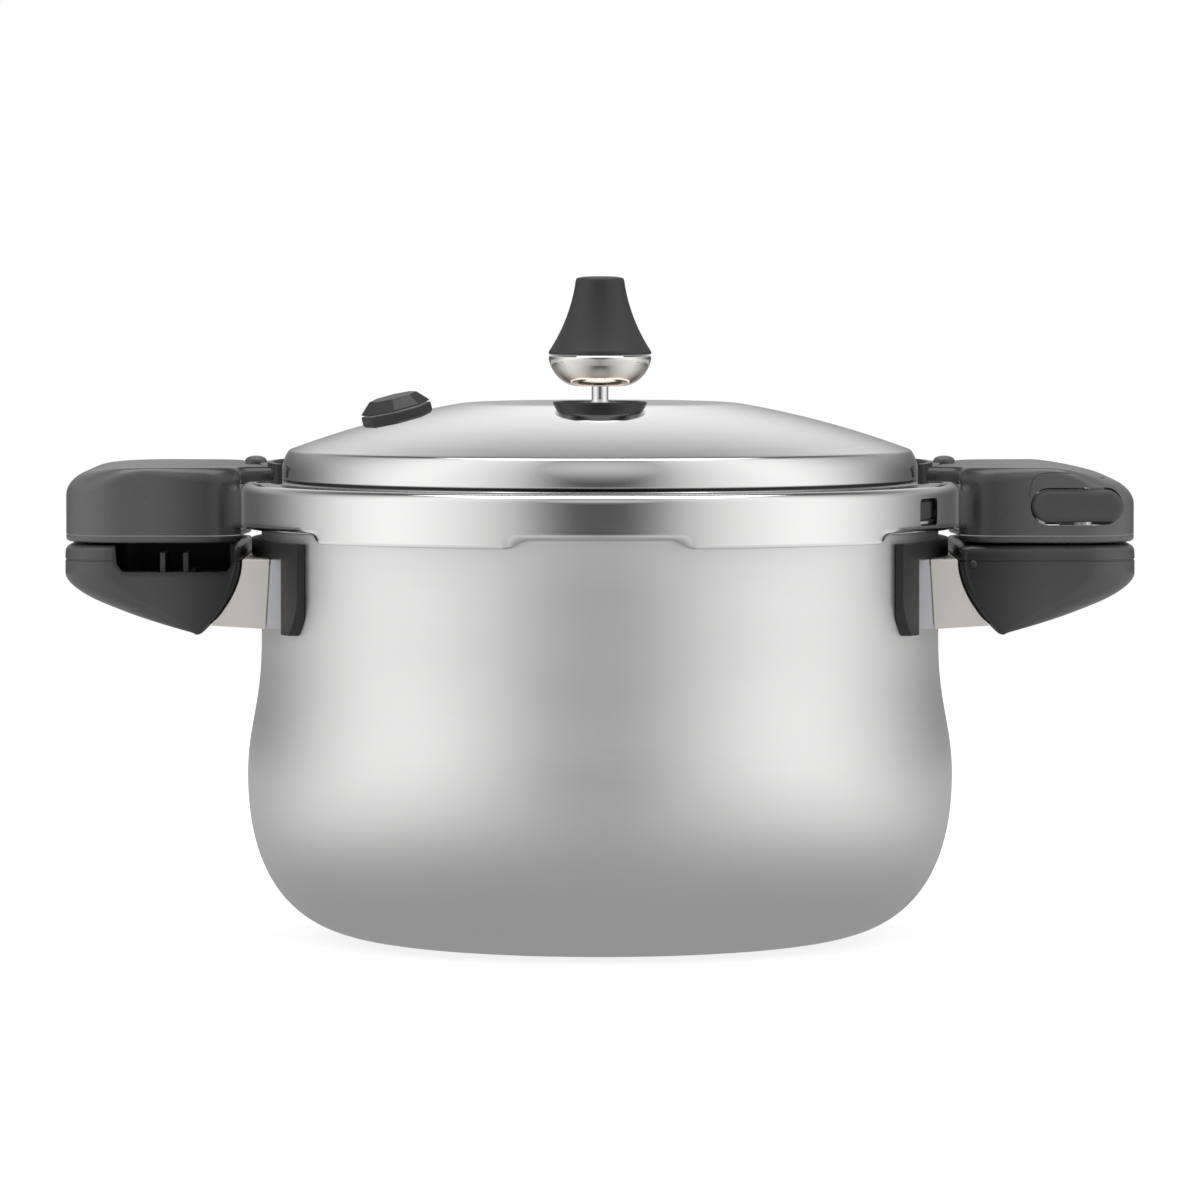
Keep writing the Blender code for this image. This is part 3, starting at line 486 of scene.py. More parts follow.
def lug_share(angle):
    best = 0.0
    for lug in LUG_ANGLES:
        away = abs((angle - lug + 180.0) % 360.0 - 180.0)
        best = max(best, 1.0 - smoothstep(away, LUG_HALF - 0.7, LUG_HALF + 0.3))
    return best


def pot_outline(angle):
    rim = RIM_R + (LUG_R - RIM_R) * lug_share(angle)
    under = RIM_Z - 1.4
    outer = [(0.0, 0.0), (36.0, 0.0), (60.0, 0.0)] + belly(0.0, 0.0) + [(NECK_R, 118.0),
                                                                        (NECK_R, under - 0.6)]
    outer += [(NECK_R + 0.15, under - 0.15), (NECK_R + 0.6, under), (rim - 0.5, under)]
    outer += arc((rim - 0.5, under + 0.5), 0.5, -60, 0, 2) + arc((rim - 0.5, RIM_Z - 0.5), 0.5, 0, 90, 3)
    inner = [(NECK_R - WALL + 0.5, RIM_Z)] + arc((NECK_R - WALL + 0.5, RIM_Z - 0.5), 0.5, 120, 180, 2)
    inner += [(NECK_R - WALL, 118.0)] + belly(WALL, 3.0)[::-1] + [(60.0, 3.0), (36.0, 3.0), (0.0, 3.0)]
    return outer + inner


def make_pot(mats):
    pot = finish_piece("pot_shell", turned(pot_outline, 320), mats["pot"])
    place_piece(pot, "pot", "pot_body")


# ---------------------------------------------------------------- lid

def dome(offset, dense=True):
    """Section of the dome from its crown to the tuck under its edge, moved along its normal."""
    slope, bend, radius, last = 10.0, 40.0, 310.0, 20.4
    crown = np.linspace(0.0, CROWN_R, 24 if dense else 6)
    points = [(float(r), CROWN_Z + offset) for r in crown]
    for a in np.radians(np.linspace(0.0, slope, 8 if dense else 3)[1:]):
        points.append((CROWN_R + (bend + offset) * math.sin(a),
                       CROWN_Z - bend + (bend + offset) * math.cos(a)))
    x0 = CROWN_R + bend * math.sin(math.radians(slope))
    z0 = CROWN_Z - bend * (1 - math.cos(math.radians(slope)))
    cx = x0 - radius * math.sin(math.radians(slope))
    cz = z0 - radius * math.cos(math.radians(slope))
    for a in np.radians(np.linspace(slope, last, 44 if dense else 10)[1:]):
        points.append((cx + (radius + offset) * math.sin(a), cz + (radius + offset) * math.cos(a)))
    x, z = cx + radius * math.sin(math.radians(last)), cz + radius * math.cos(math.radians(last))
    turned_to = last
    for roll, until, steps in ((2.2, 60.0, 6), (16.0, 91.0, 8), (1.1, 140.0, 5)):
        begin = math.radians(turned_to)
        ex, ez = x - roll * math.sin(begin), z - roll * math.cos(begin)
        for a in np.radians(np.linspace(turned_to, until, steps + 1)[1:]):
            points.append((ex + (roll + offset) * math.sin(a), ez + (roll + offset) * math.cos(a)))
        x, z, turned_to = ex + roll * math.sin(a), ez + roll * math.cos(a), until
    return points


def dome_height(r):
    points = dome(0.0)
    return float(np.interp(r, [p[0] for p in points[:-BEAD_POINTS]], [p[1] for p in points[:-BEAD_POINTS]]))


def relief_frame():
    x, y = RELIEF_XY
    r = math.hypot(x, y)
    slope = (dome_height(r + 2) - dome_height(r - 2)) / 4
    normal = Vector((-slope * x / r, -slope * y / r, 1.0)).normalized()
    turn = Vector((0, 0, 1)).rotation_difference(normal).to_matrix().to_4x4()
    return Matrix.Translation((x, y, dome_height(r))) @ turn


def skirt_foot(angle):
    """How far the skirt is bent in: 1 on a lip, 0 between lips."""
    best = 0.0
    for start, end in LIP_SPANS:
        away = abs((angle - (start + end) / 2 + 180.0) % 360.0 - 180.0) - (end - start) / 2
        best = max(best, 1.0 - smoothstep(away, -LIP_BLEND / 2, LIP_BLEND / 2))
    return best


def lid_outline(angle):
    bent = skirt_foot(angle)
    inner = SKIRT_R - SHEET
    fold = (SKIRT_R - LIP_BEND, LIP_Z + LIP_BEND)
    lip = [(SKIRT_R, z) for z in np.linspace(SKIRT_BEND_Z, fold[1], 4)[:-1]] + arc(fold, LIP_BEND, 0, -90, 7)
    lip += [(LIP_R + 0.4, LIP_Z), (LIP_R, LIP_Z + 0.4), (LIP_R, LIP_Z + SHEET - 0.3),
            (LIP_R + 0.3, LIP_Z + SHEET)]
    lip += arc(fold, LIP_BEND - SHEET, -90, 0,
               3) + [(inner, z) for z in np.linspace(fold[1], SKIRT_BEND_Z, 4)[1:]]
    drop = SKIRT_BEND_Z - SKIRT_Z
    plain = [(SKIRT_R, SKIRT_BEND_Z - (drop - 0.6) * t) for t in np.linspace(0.0, 1.0, 11)]
    plain += [(SKIRT_R - 0.15, SKIRT_Z + 0.2), (SKIRT_R - 0.5, SKIRT_Z), (inner + 0.4, SKIRT_Z)]
    plain += [(inner + 0.1, SKIRT_Z + 0.2)]
    plain += [(inner, SKIRT_Z + 0.5 + (drop - 0.5) * t) for t in np.linspace(0.0, 1.0, 7)]
    foot = [tuple(bent * a + (1 - bent) * b for a, b in zip(p, q)) for p, q in zip(lip, plain)]
    tuck = dome(0.0)[-1]
    crease = fillet([(*tuck, 0.0), (CREASE_R + 0.4, FLANGE_Z, 0.7), (CREASE_R + 4.0, FLANGE_Z, 0.0)], 6)[1:]
    corner = (SKIRT_R - SHOULDER, FLANGE_Z - SHOULDER)
    shoulder = arc(corner, SHOULDER, 90, 0, 12) + [(SKIRT_R, 142.0)]
    under = [(inner, 142.0)] + arc(corner, SHOULDER - SHEET, 0, 90, 6)
    under += [(CREASE_R + 0.4, FLANGE_Z - SHEET), (CREASE_R - SHEET, FLANGE_Z - 0.2)]
    under += [(CREASE_R - SHEET, FLANGE_Z + 1.6)]
    return dome(0.0) + crease + shoulder + foot + under + dome(-SHEET, dense=False)[::-1]


def press_seat(x, y, z, lowered):
    """Presses the cup of the steam vent into the dome: a level floor with a sloping wall and a soft edge."""
    away = math.hypot(x, y - VENT_Y)
    cup = SEAT_Z - lowered + SEAT_SLOPE * max(0.0, away - SEAT_R)
    near = max(0.0, 1.0 - abs(cup - z) / SEAT_EDGE)
    return min(cup, z) - near * near * SEAT_EDGE / 4


def window_cutter():
    outline = fillet([(-7.0, -4.4, 1.8), (7.0, -4.4, 1.8), (7.0, 4.4, 1.8), (-7.0, 4.4, 1.8)], 5)
    place = Matrix.Rotation(math.radians(64.2), 4, "Z") @ Matrix.Translation((0.0, -SKIRT_R, 142.4))
    return moved(prism(outline, -10.0, 10.0, axis="Y"), place)


def make_lid(mats):
    shell = turned(lid_outline, 400)
    for vertex in shell.verts:
        x, y, z = vertex.co
        r = math.hypot(x, y)
        if r < 85.0 and z > 160.0:
            lowered = SHEET if z < dome_height(r) - SHEET / 2 else 0.0
            vertex.co.z = press_seat(x, y, z, lowered)
    lid = finish_piece("lid_shell_skin", shell, mats["lid"])
    boolean(lid, turned([(0, 165.0), (3.3, 165.0), (3.3, 185.0), (0, 185.0)], 32, (0.0, VENT_Y)))
    boolean(lid, moved(turned([(0, -8.0), (5.3, -8.0), (5.3, 8.0), (0, 8.0)], 32), relief_frame()))
    boolean(lid, window_cutter())
    place_piece(lid, "lid", "lid_shell")


# ---------------------------------------------------------------- lid grips

def grip_plan(steps=16):
    """The lid grip from above, on the +X side, as (x, y) round its edge from the front inner corner."""
    x_in, x_out, half = 117.2, GRIP_END_X, GRIP_HALF_Y
    r_in, r_out = 12.0, 19.0
    points = arc((x_in + r_in, -half + r_in), r_in, 180, 270, steps)
    points += [(x, -half) for x in np.linspace(x_in + r_in, x_out - r_out, 14)[1:-1]]
    points += arc((x_out - r_out, -half + r_out), r_out, 270, 360, steps)
    points += [(x_out, y) for y in np.linspace(-half + r_out, half - r_out, 14)[1:-1]]
    points += arc((x_out - r_out, half - r_out), r_out, 0, 90, steps)
    points += [(x, half) for x in np.linspace(x_out - r_out, x_in + r_in, 14)[1:-1]]
    points += arc((x_in + r_in, half - r_in), r_in, 90, 180, steps)
    straight = half - r_in
    for y in np.linspace(straight, -straight, 62)[1:-1]:
        points.append((x_in + 2.0 * (1 - (y / straight) ** 2), y))
    return np.array(points)


def outward(points):
    ahead = np.roll(points, -1, axis=0) - np.roll(points, 1, axis=0)
    normal = np.stack([ahead[:, 1], -ahead[:, 0]], axis=1)
    return normal / np.linalg.norm(normal, axis=1)[:, None]


def grip_rings(end_inset, end_rise, sag):
    """Rings of the lid grip from its open bottom to its top; the last values shape its outer end."""
    base_z, top_z = LID_GRIP_Z
    plan = grip_plan()
    neck = plan.copy()
    for i, (x, y) in enumerate(plan):
        if x < 121.0 and abs(y) < 36.0:
            neck[i, 0] = math.sqrt(NECK_END_R**2 - y * y)
            neck[i, 0] += (x - neck[i, 0]) * smoothstep(abs(y), 28.0, 33.5)
    side_normal, neck_normal = outward(plan), outward(neck)
    outer = np.array([smoothstep(x, 146.0, 174.0) for x in plan[:, 0]])
    inner = np.array([1 - smoothstep(x, 120.0, 158.0) for x in plan[:, 0]])
    middle = np.array([(1 - smoothstep(abs(y), 34.0, 46.0)) * (x < 125.0) for x, y in plan])
    inset = 2.0 + (end_inset - 2.0) * outer + 3.5 * inner - 1.5 * middle
    rise = 1.6 + (end_rise - 1.6) * outer + 4.4 * inner - 3.0 * middle
    top_start = top_z - rise
    lower_end = np.minimum(FLANGE_Z + 0.6, top_start - 0.8)
    rings = []
    for t, tuck in ((0.0, 0.0), (0.02, 0.0), (0.3, 0.0), (0.6, 0.0), (0.85, 0.0), (1.0, 0.0)):
        flat = plan - side_normal * tuck
        rings.append(np.column_stack([flat, base_z + t * (lower_end - base_z)]))
    for t, share in ((0.1, 0.04), (0.17, 0.2), (0.19, 0.5), (0.2, 0.8), (0.24, 0.95), (0.4, 1.0), (1.0, 1.0)):
        flat = plan + (neck - plan) * share
        rings.append(np.column_stack([flat, lower_end + t * (top_start - lower_end)]))
    for a in np.radians(np.linspace(0.0, 90.0, 11)[1:]):
        flat = neck - neck_normal * (inset * (1 - math.cos(a)))[:, None]
        rings.append(np.column_stack([flat, top_start + rise * math.sin(a)]))
    edge = rings[-1]
    for share in (0.85, 0.68, 0.5, 0.32, 0.15, 0.04):
        rings.append(np.column_stack([138.0 + (edge[:, 0] - 138.0) * share, edge[:, 1] * share, edge[:, 2]]))
    for ring in rings:
        lift = np.clip((ring[:, 2] - top_start) / rise, 0.0, 1.0)
        lowered = np.array([smoothstep(x, 144.0, 167.0) for x in ring[:, 0]])
        ring[:, 2] -= sag * lift * lowered
    return [[tuple(p) for p in ring] for ring in rings]


def stadium(grow, start, end, steps=14):
    half_length, half_height = 14.6, 5.3
    straight, radius = half_length - half_height, half_height + grow
    outline = arc((BUTTON_X + straight, BUTTON_Z), radius, -90, 90, steps)
    outline += arc((BUTTON_X - straight, BUTTON_Z), radius, 90, 270, steps)
    return prism(outline, start, end, axis="Y")


def panel_seam():
    """Thin groove of the lock cover: up from the button's inner end and over it to the grip's tip."""
    path = bezier((139.5, 146.6), (139.5, 153.6), (141.5, 154.7), (146.6, 154.8), 14)
    path += bezier((146.6, 154.8), (156.0, 155.0), (164.0, 154.2), (170.5, 150.0), 14)[1:]
    line = np.array(path)
    ahead = np.gradient(line, axis=0)
    side = np.stack([-ahead[:, 1], ahead[:, 0]], axis=1)
    side /= np.linalg.norm(side, axis=1)[:, None]
    outline = [tuple(p) for p in line + 0.15 * side] + [tuple(p) for p in (line - 0.15 * side)[::-1]]
    return prism(outline, -60.0, -GRIP_HALF_Y + 1.0, axis="Y")


def make_lid_grip(side, sign, mats):
    rings = grip_rings(16.0, 12.5, 2.6) if sign > 0 else grip_rings(14.0, 9.5, 0.3)
    grip = finish_piece(f"{side}_lid_grip_shell", mirrored(grid(rings, False, caps=True), sign),
                        mats["upper"])
    cavity = fillet([(122.4, -43.0, 9.0), (172.6, -43.0, 15.0), (172.6, 43.0, 15.0), (122.4, 43.0, 9.0)], 8)
    boolean(grip, mirrored(prism(cavity, 130.0, 144.5), sign))
    upper = fillet([(122.4, -40.5, 9.0), (164.8, -40.5, 9.0), (164.8, 40.5, 9.0), (122.4, 40.5, 9.0)], 8)
    boolean(grip, mirrored(prism(upper, 143.5, CEILING_Z - 1.4), sign))
    boolean(grip, mirrored(block((105.0, -17.2, 149.0), (126.0, 17.2, CEILING_Z)), sign))
    boolean(grip, turned([(0, 148.0), (1.8, 148.0), (1.8, 160.0), (0, 160.0)], 24,
                         (sign * NECK_SCREW_X, 0.0)))
    if sign > 0:
        boolean(grip, stadium(0.8, -60.0, -33.0))
        boolean(grip, panel_seam())
    place_piece(grip, "lid", f"{side}_lid_grip", mirrored_in_steel=False)
    return grip


def make_grip_base(side, sign, mats):
    plan = grip_plan()
    normal = outward(plan)
    rings = []
    for z, tuck in ((0.0, 1.6), (0.1, 0.9), (0.4, 0.35), (0.9, 0.0), (1.9, 0.0), (2.2, 0.0)):
        flat = plan - normal * tuck
        rings.append([(x, y, BASE_Z[0] + z) for x, y in flat])
    base = finish_piece(f"{side}_grip_base_plate", mirrored(grid(rings, False, caps=True), sign),
                        mats["upper"])
    z = BASE_Z[0]
    bore = [(0, z - 1), (3.5, z - 1), (3.5, z + 1.2), (1.8, z + 1.2), (1.8, z + 4), (0, z + 4)]
    boolean(base, turned(bore, 32, (sign * 146.0, 0.0)))
    if sign > 0:
        boolean(base, turned([(0, z - 1), (3.4, z - 1), (3.4, z + 4), (0, z + 4)], 24, (158.5, -20.0)))
    place_piece(base, "lid", f"{side}_grip_base")


def make_neck_screw(side, sign, mats):
    seat = LID_GRIP_Z[1] + 0.15
    outline = [(0, 151.7), (1.5, 151.7), (1.5, seat), (3.6, seat), (3.6, seat + 0.5)]
    outline += bezier((3.6, seat + 0.5), (3.5, seat + 1.7), (2.2, seat + 2.3), (0.0, seat + 2.4), 12)[1:]
    screw = finish_piece(f"{side}_neck_screw_cap", turned(outline, 40, (sign * NECK_SCREW_X, 0.0)),
                         mats["stud"])
    place_piece(screw, "lid", f"{side}_neck_screw")


def make_button(mats):
    front, back = low("release_button").y, -38.0
    rings = []
    for y, tuck in ((back, 0.4), (back - 0.4, 0.0), (front + 1.4, 0.0), (front + 0.8, 0.12),
                    (front + 0.35, 0.5),
                    (front + 0.1, 1.0), (front, 1.9), (front + 0.15, 3.0)):
        ring = []
        for x, z in arc((BUTTON_X + 9.3, BUTTON_Z), 5.3 - tuck, -90, 90, 16) + \
                arc((BUTTON_X - 9.3, BUTTON_Z), 5.3 - tuck, 90, 270, 16):
            scoop = 1.1 * math.exp(-((x - BUTTON_X - 4.0) / 5.0) ** 2) * smoothstep(BUTTON_Z - z, 2.6, 5.3)
            ring.append((x, y, z + scoop * smoothstep(-y, 40.0, 45.0)))
        rings.append(ring)
    button = finish_piece("release_button_cap", grid(rings, False, caps=True), mats["button"])
    ramp = [(-39.0, 139.0), (-24.0, 139.0), (-24.0, 141.0), (-31.0, 148.0), (-39.0, 148.0)]
    boolean(button, prism(ramp, 151.0, 154.8, axis="X"), "UNION")
    place_piece(button, "button", "release_button", mirrored_in_steel=False)


# ---------------------------------------------------------------- pot grips

def pot_grip_in_x(z):
    return 116.6 + 0.0215 * max(0.0, 127.0 - z) ** 2


def pot_grip_out_x(z):
    drop = max(0.0, 121.0 - z)
    return POT_GRIP_END_X - 0.108 * drop**2 - 0.36 * drop


def pot_grip_ring(z, inset):
    x_in = pot_grip_in_x(z) + inset
    x_out = max(pot_grip_out_x(z), pot_grip_in_x(z) + 2.6) - inset
    room = 0.48 * (x_out - x_in)
    r_in, r_out = min(3.2, room), min(17.0 - inset, room)
    half = GRIP_HALF_Y - 0.4 - inset
    points = arc((x_in + r_in, -half + r_in), r_in, 180, 270, 8)
    points += arc((x_out - r_out, -half + r_out), r_out, 270, 360, 16)
    points += arc((x_out - r_out, half - r_out), r_out, 0, 90, 16)
    points += arc((x_in + r_in, half - r_in), r_in, 90, 180, 8)
    return [(x, y, z) for x, y in points]


def make_pot_grip(side, sign, mats):
    bottom, top = POT_GRIP_Z
    rings = [pot_grip_ring(bottom, 0.7), pot_grip_ring(bottom + 0.3, 0.25), pot_grip_ring(bottom + 0.8, 0.0)]
    rings += [pot_grip_ring(z, 0.0) for z in np.linspace(bottom + 2.2, 125.6, 22)]
    rings += [pot_grip_ring(z, inset) for z,
              inset in ((125.85, 0.0), (126.05, 0.3), (126.35, 0.3), (126.5, 0.0),
                                                       (127.6, 0.0), (129.0, 0.08), (129.8, 0.3),
                                                       (130.4, 0.7),
                                                       (130.85, 1.25), (131.1, 1.9), (top, 2.6))]
    grip = finish_piece(f"{side}_pot_grip_body", mirrored(grid(rings, False, caps=True), sign), mats["gloss"])
    end = 152.0 if sign > 0 else 167.0
    pocket = fillet([(120.6, -42.4, 2.0), (end, -42.4, 12.0), (end, 42.4, 12.0), (120.6, 42.4, 2.0)], 8)
    boolean(grip, mirrored(prism(pocket, 117.0, top + 2.0), sign))
    boolean(grip, mirrored(block((112.0, -10.4, 117.0), (122.0, 10.4, 121.0)), sign))
    bore = [(0, 100.0), (3.9, 100.0), (3.9, 108.8), (2.3, 108.8), (2.3, 118.0), (0, 118.0)]
    boolean(grip, turned(bore, 32, (sign * 135.0, 0.0)))
    if sign > 0:
        boolean(grip, turned([(0, top - 4.5), (3.5, top - 4.5), (3.5, top + 1), (0, top + 1)], 32,
                             (158.5, -20.0)))
        stud = turned([(0, -2.0), (1.5, -2.0), (1.5, 0.1), (1.3, 0.7), (0.8, 1.15), (0, 1.3)], 24)
        facing = Matrix.Translation((121.3, -GRIP_HALF_Y + 0.6, 125.1)) @ Matrix.Rotation(math.radians(90),
                                                                                          4, "X")
        boolean(grip, moved(stud, facing), "UNION")
    else:
        for grow, depth in ((0.0, 10.4), (0.35, 1.5), (0.7, 1.15), (1.05, 0.8)):
            notch = fillet([(-157.8 - grow, top + 1, 0.0), (-157.2 - grow, 125.0, 1.6),
                            (-155.2, 122.4 - grow, 2.0),
                            (-121.6, 122.4 - grow, 2.0), (-119.1 + grow, 125.6, 1.6),
                            (-118.6 + grow, top + 1, 0.0)], 5)
            boolean(grip, prism(notch, -60.0, -GRIP_HALF_Y + depth, axis="Y"))
        for x in (-142.4, -134.9):
            boolean(grip, block((x - 0.8, -40.6, 116.0), (x + 0.8, -22.0, 128.6)), "UNION")
    place_piece(grip, "pot", f"{side}_pot_grip")


# ---------------------------------------------------------------- ferrules and pads

def pot_wall_cutter(clearance):
    radius = NECK_R + clearance
    return turned([(0, 90.0), (radius, 90.0), (radius, 145.0), (0, 145.0)], 256)


def make_ferrule(side, sign, mats):
    bottom, top = COLLAR_Z
    outline = [(107.4, top)] + [(pot_grip_in_x(z) - 0.35, z) for z in np.linspace(top, bottom + 1.1, 14)]
    outline.append((108.8, bottom))
    ferrule = finish_piece(f"{side}_ferrule_skin", mirrored(
        prism(outline, -COLLAR_HALF_Y, COLLAR_HALF_Y, axis="Y"), sign), mats["ferrule"])
    inside = block((90.0, -COLLAR_HALF_Y + 1.4, bottom + 1.4), (140.0, COLLAR_HALF_Y - 1.4, top - 1.4))
    boolean(ferrule, mirrored(inside, sign))
    boolean(ferrule, pot_wall_cutter(0.4))
    soften(ferrule, 0.45)
    place_piece(ferrule, "pot", f"{side}_ferrule")


def make_pad(side, sign, mats):
    reach, inner_r, outer_r = 31.8, 112.3, 115.2
    bottom, top = PAD_Z
    outline = arc((0.0, 0.0), inner_r, -reach, reach, 72) + arc((0.0, 0.0), outer_r, reach, -reach, 72)
    pad = finish_piece(f"{side}_wall_pad_skin", mirrored(prism(outline, bottom, top), sign), mats["satin"])
    opening = block((80.0, -50.5, 90.0), (140.0, 50.5, COLLAR_Z[1] + 0.3))
    boolean(pad, mirrored(opening, sign))
    for end in (-1, 1):
        corner = [(end * 70.0, bottom - 4)] + bezier((end * 53.2, bottom - 4), (end * 55.0, 103.6),
                                                     (end * 61.0, 104.6),
                                                     (end * 61.4, 122.0), 14) + [(end * 70.0, 122.0)]
        boolean(pad, mirrored(prism(corner, 80.0, 125.0, axis="X"), sign))
    soften(pad, 0.5)
    place_piece(pad, "pot", f"{side}_wall_pad")


# ---------------------------------------------------------------- vent, weight and relief valve

def make_vent(mats):
    at = (0.0, VENT_Y)
    z = DISH_Z[0]
    section = [(3.1, z, 0.1), (10.9, z, 1.0), (13.4, z + 1.9, 2.5), (DISH_R - 0.1, z + 5.0, 0.6),
               (DISH_R, z + 5.8, 0.2),
               (DISH_R - 0.3, z + 6.0, 0.1), (DISH_R - 1.0, z + 6.0, 0.2), (12.6, z + 3.6, 1.6),
               (8.6, z + 2.2, 2.0),
               (3.1, z + 2.2, 0.1)]
    dish = finish_piece("vent_dish_bowl", turned(fillet(section, 5), 96, at), mats["dish"])
    place_piece(dish, "lid", "vent_dish", mirrored_in_steel=False)
    collar = z + 2.5
    section = [(1.3, 163.0, 0.1), (2.8, 163.0, 0.3), (2.8, collar, 0.0), (4.6, collar, 0.2),
               (4.6, collar + 2.0, 0.5),
               (3.7, collar + 2.6, 0.3), (3.2, collar + 3.0, 0.4), (2.7, collar + 4.2, 0.8),
               (2.7, 188.8, 0.4),
               (1.9, 190.0, 0.3), (1.3, 190.0, 0.1)]
    pipe = finish_piece("nozzle_pipe_skin", turned(fillet(section, 4), 64, at), mats["nozzle"])
    place_piece(pipe, "lid", "nozzle_pipe", mirrored_in_steel=False)


def make_weight(mats):
    at = (0.0, VENT_Y)
    rim = SEAM_Z
    side = bezier((7.6, WEIGHT_Z), (12.6, WEIGHT_Z + 0.4), (WEIGHT_R - 0.5, WEIGHT_Z + 5.0),
                  (WEIGHT_R, rim - 0.7), 20)
    outline = [(3.1, WEIGHT_Z + 0.3), (3.4, WEIGHT_Z), (6.2, WEIGHT_Z), (6.5, WEIGHT_Z - 0.0)] + side
    outline += [(WEIGHT_R - 0.1, rim - 0.3), (WEIGHT_R - 0.5, rim), (3.1, rim)]
    bowl = finish_piece("weight_bowl_skin", turned(outline, 128, at), mats["chrome"])
    place_piece(bowl, "weight", "weight_bowl", mirrored_in_steel=False)
    seat, top = low("weight_cap").z, WEIGHT_TOP_Z
    outline = [(3.1, seat), (WEIGHT_R - 0.5, seat), (WEIGHT_R - 0.1, seat + 0.2), (WEIGHT_R, seat + 0.6)]
    outline += bezier((WEIGHT_R - 0.05, seat + 1.0), (14.2, seat + 4.6), (9.4, 206.0), (7.9, top - 1.6), 26)
    outline += arc((6.8, top - 1.5), 1.05, 10, 80, 6)[1:] + bezier((6.7, top - 0.4), (5.6, top), (2.0, top),
                                                                   (0, top), 6)
    outline += [(0, 206.0), (3.1, 206.0)]
    cap = finish_piece("weight_cap_skin", turned(outline, 128, at), mats["cap"])
    place_piece(cap, "weight", "weight_cap", mirrored_in_steel=False)


def make_relief(mats):
    place = relief_frame()
    sides = 8
    base = [(5.75, 0.5), (7.6, 0.5), (8.0, 0.1), (11.0, 0.1), (11.7, 1.0), (11.7, 3.5), (11.4, 3.8),
            (5.75, 3.8)]
    piece = finish_piece("relief_base_skin", moved(turned(base, sides), place), mats["valve"], 20)
    soften(piece, 0.35, angle=20)
    place_piece(piece, "lid", "relief_base", mirrored_in_steel=False)
    cap = [(0, 8.1), (7.9, 8.1), (11.4, 4.6), (11.4, 4.2), (8.6, 4.2), (6.2, 7.2), (0, 7.2)]
    piece = finish_piece("relief_cap_skin", moved(turned(cap, sides), place), mats["valve"], 20)
    soften(piece, 0.45, angle=20)
    place_piece(piece, "lid", "relief_cap", mirrored_in_steel=False)


# ---------------------------------------------------------------- carried CAD nodes

def finish_carried(mats):
    """Materials for the CAD nodes whose own shape is shown."""
    groups = {
        "silicone": ["gasket", "nozzle_seal", "relief_seal"],
        "bracket": ["left_pot_bracket", "right_pot_bracket"],
        "strap": ["left_lid_bracket", "right_lid_bracket"],
        "fastener": ["nozzle_nut", "vent_filter", "relief_body", "relief_nut", "relief_plunger", "weight_pin",
                     "lock_bolt"] + [f"{s}_{p}" for s in ("left", "right") for p in ("pot_grip_screw",
                                                                                     "grip_screw")],
        "wire": ["relief_spring", "button_spring", "bolt_spring"],
    }
    for key, names in groups.items():
        for name in names:
            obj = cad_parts[name]
            if not obj.material_slots:
                obj.data.materials.append(None)
            for slot in obj.material_slots:
                slot.link = "OBJECT"
                slot.material = mats[key]
            obj.visible_glossy = key == "bracket"


# ---------------------------------------------------------------- stage, light and camera

def ramp_of(tree, value, stops):
    node = add(tree, "ShaderNodeValToRGB")
    node.color_ramp.interpolation = "B_SPLINE"
    elements = node.color_ramp.elements
    while len(elements) < len(stops):
        elements.new(0.5)
    for element, (at, level) in zip(elements, stops):
        element.position = at
        element.color = (level, level, level, 1.0)
    tree.links.new(value, node.inputs["Fac"])
    return node.outputs["Color"]


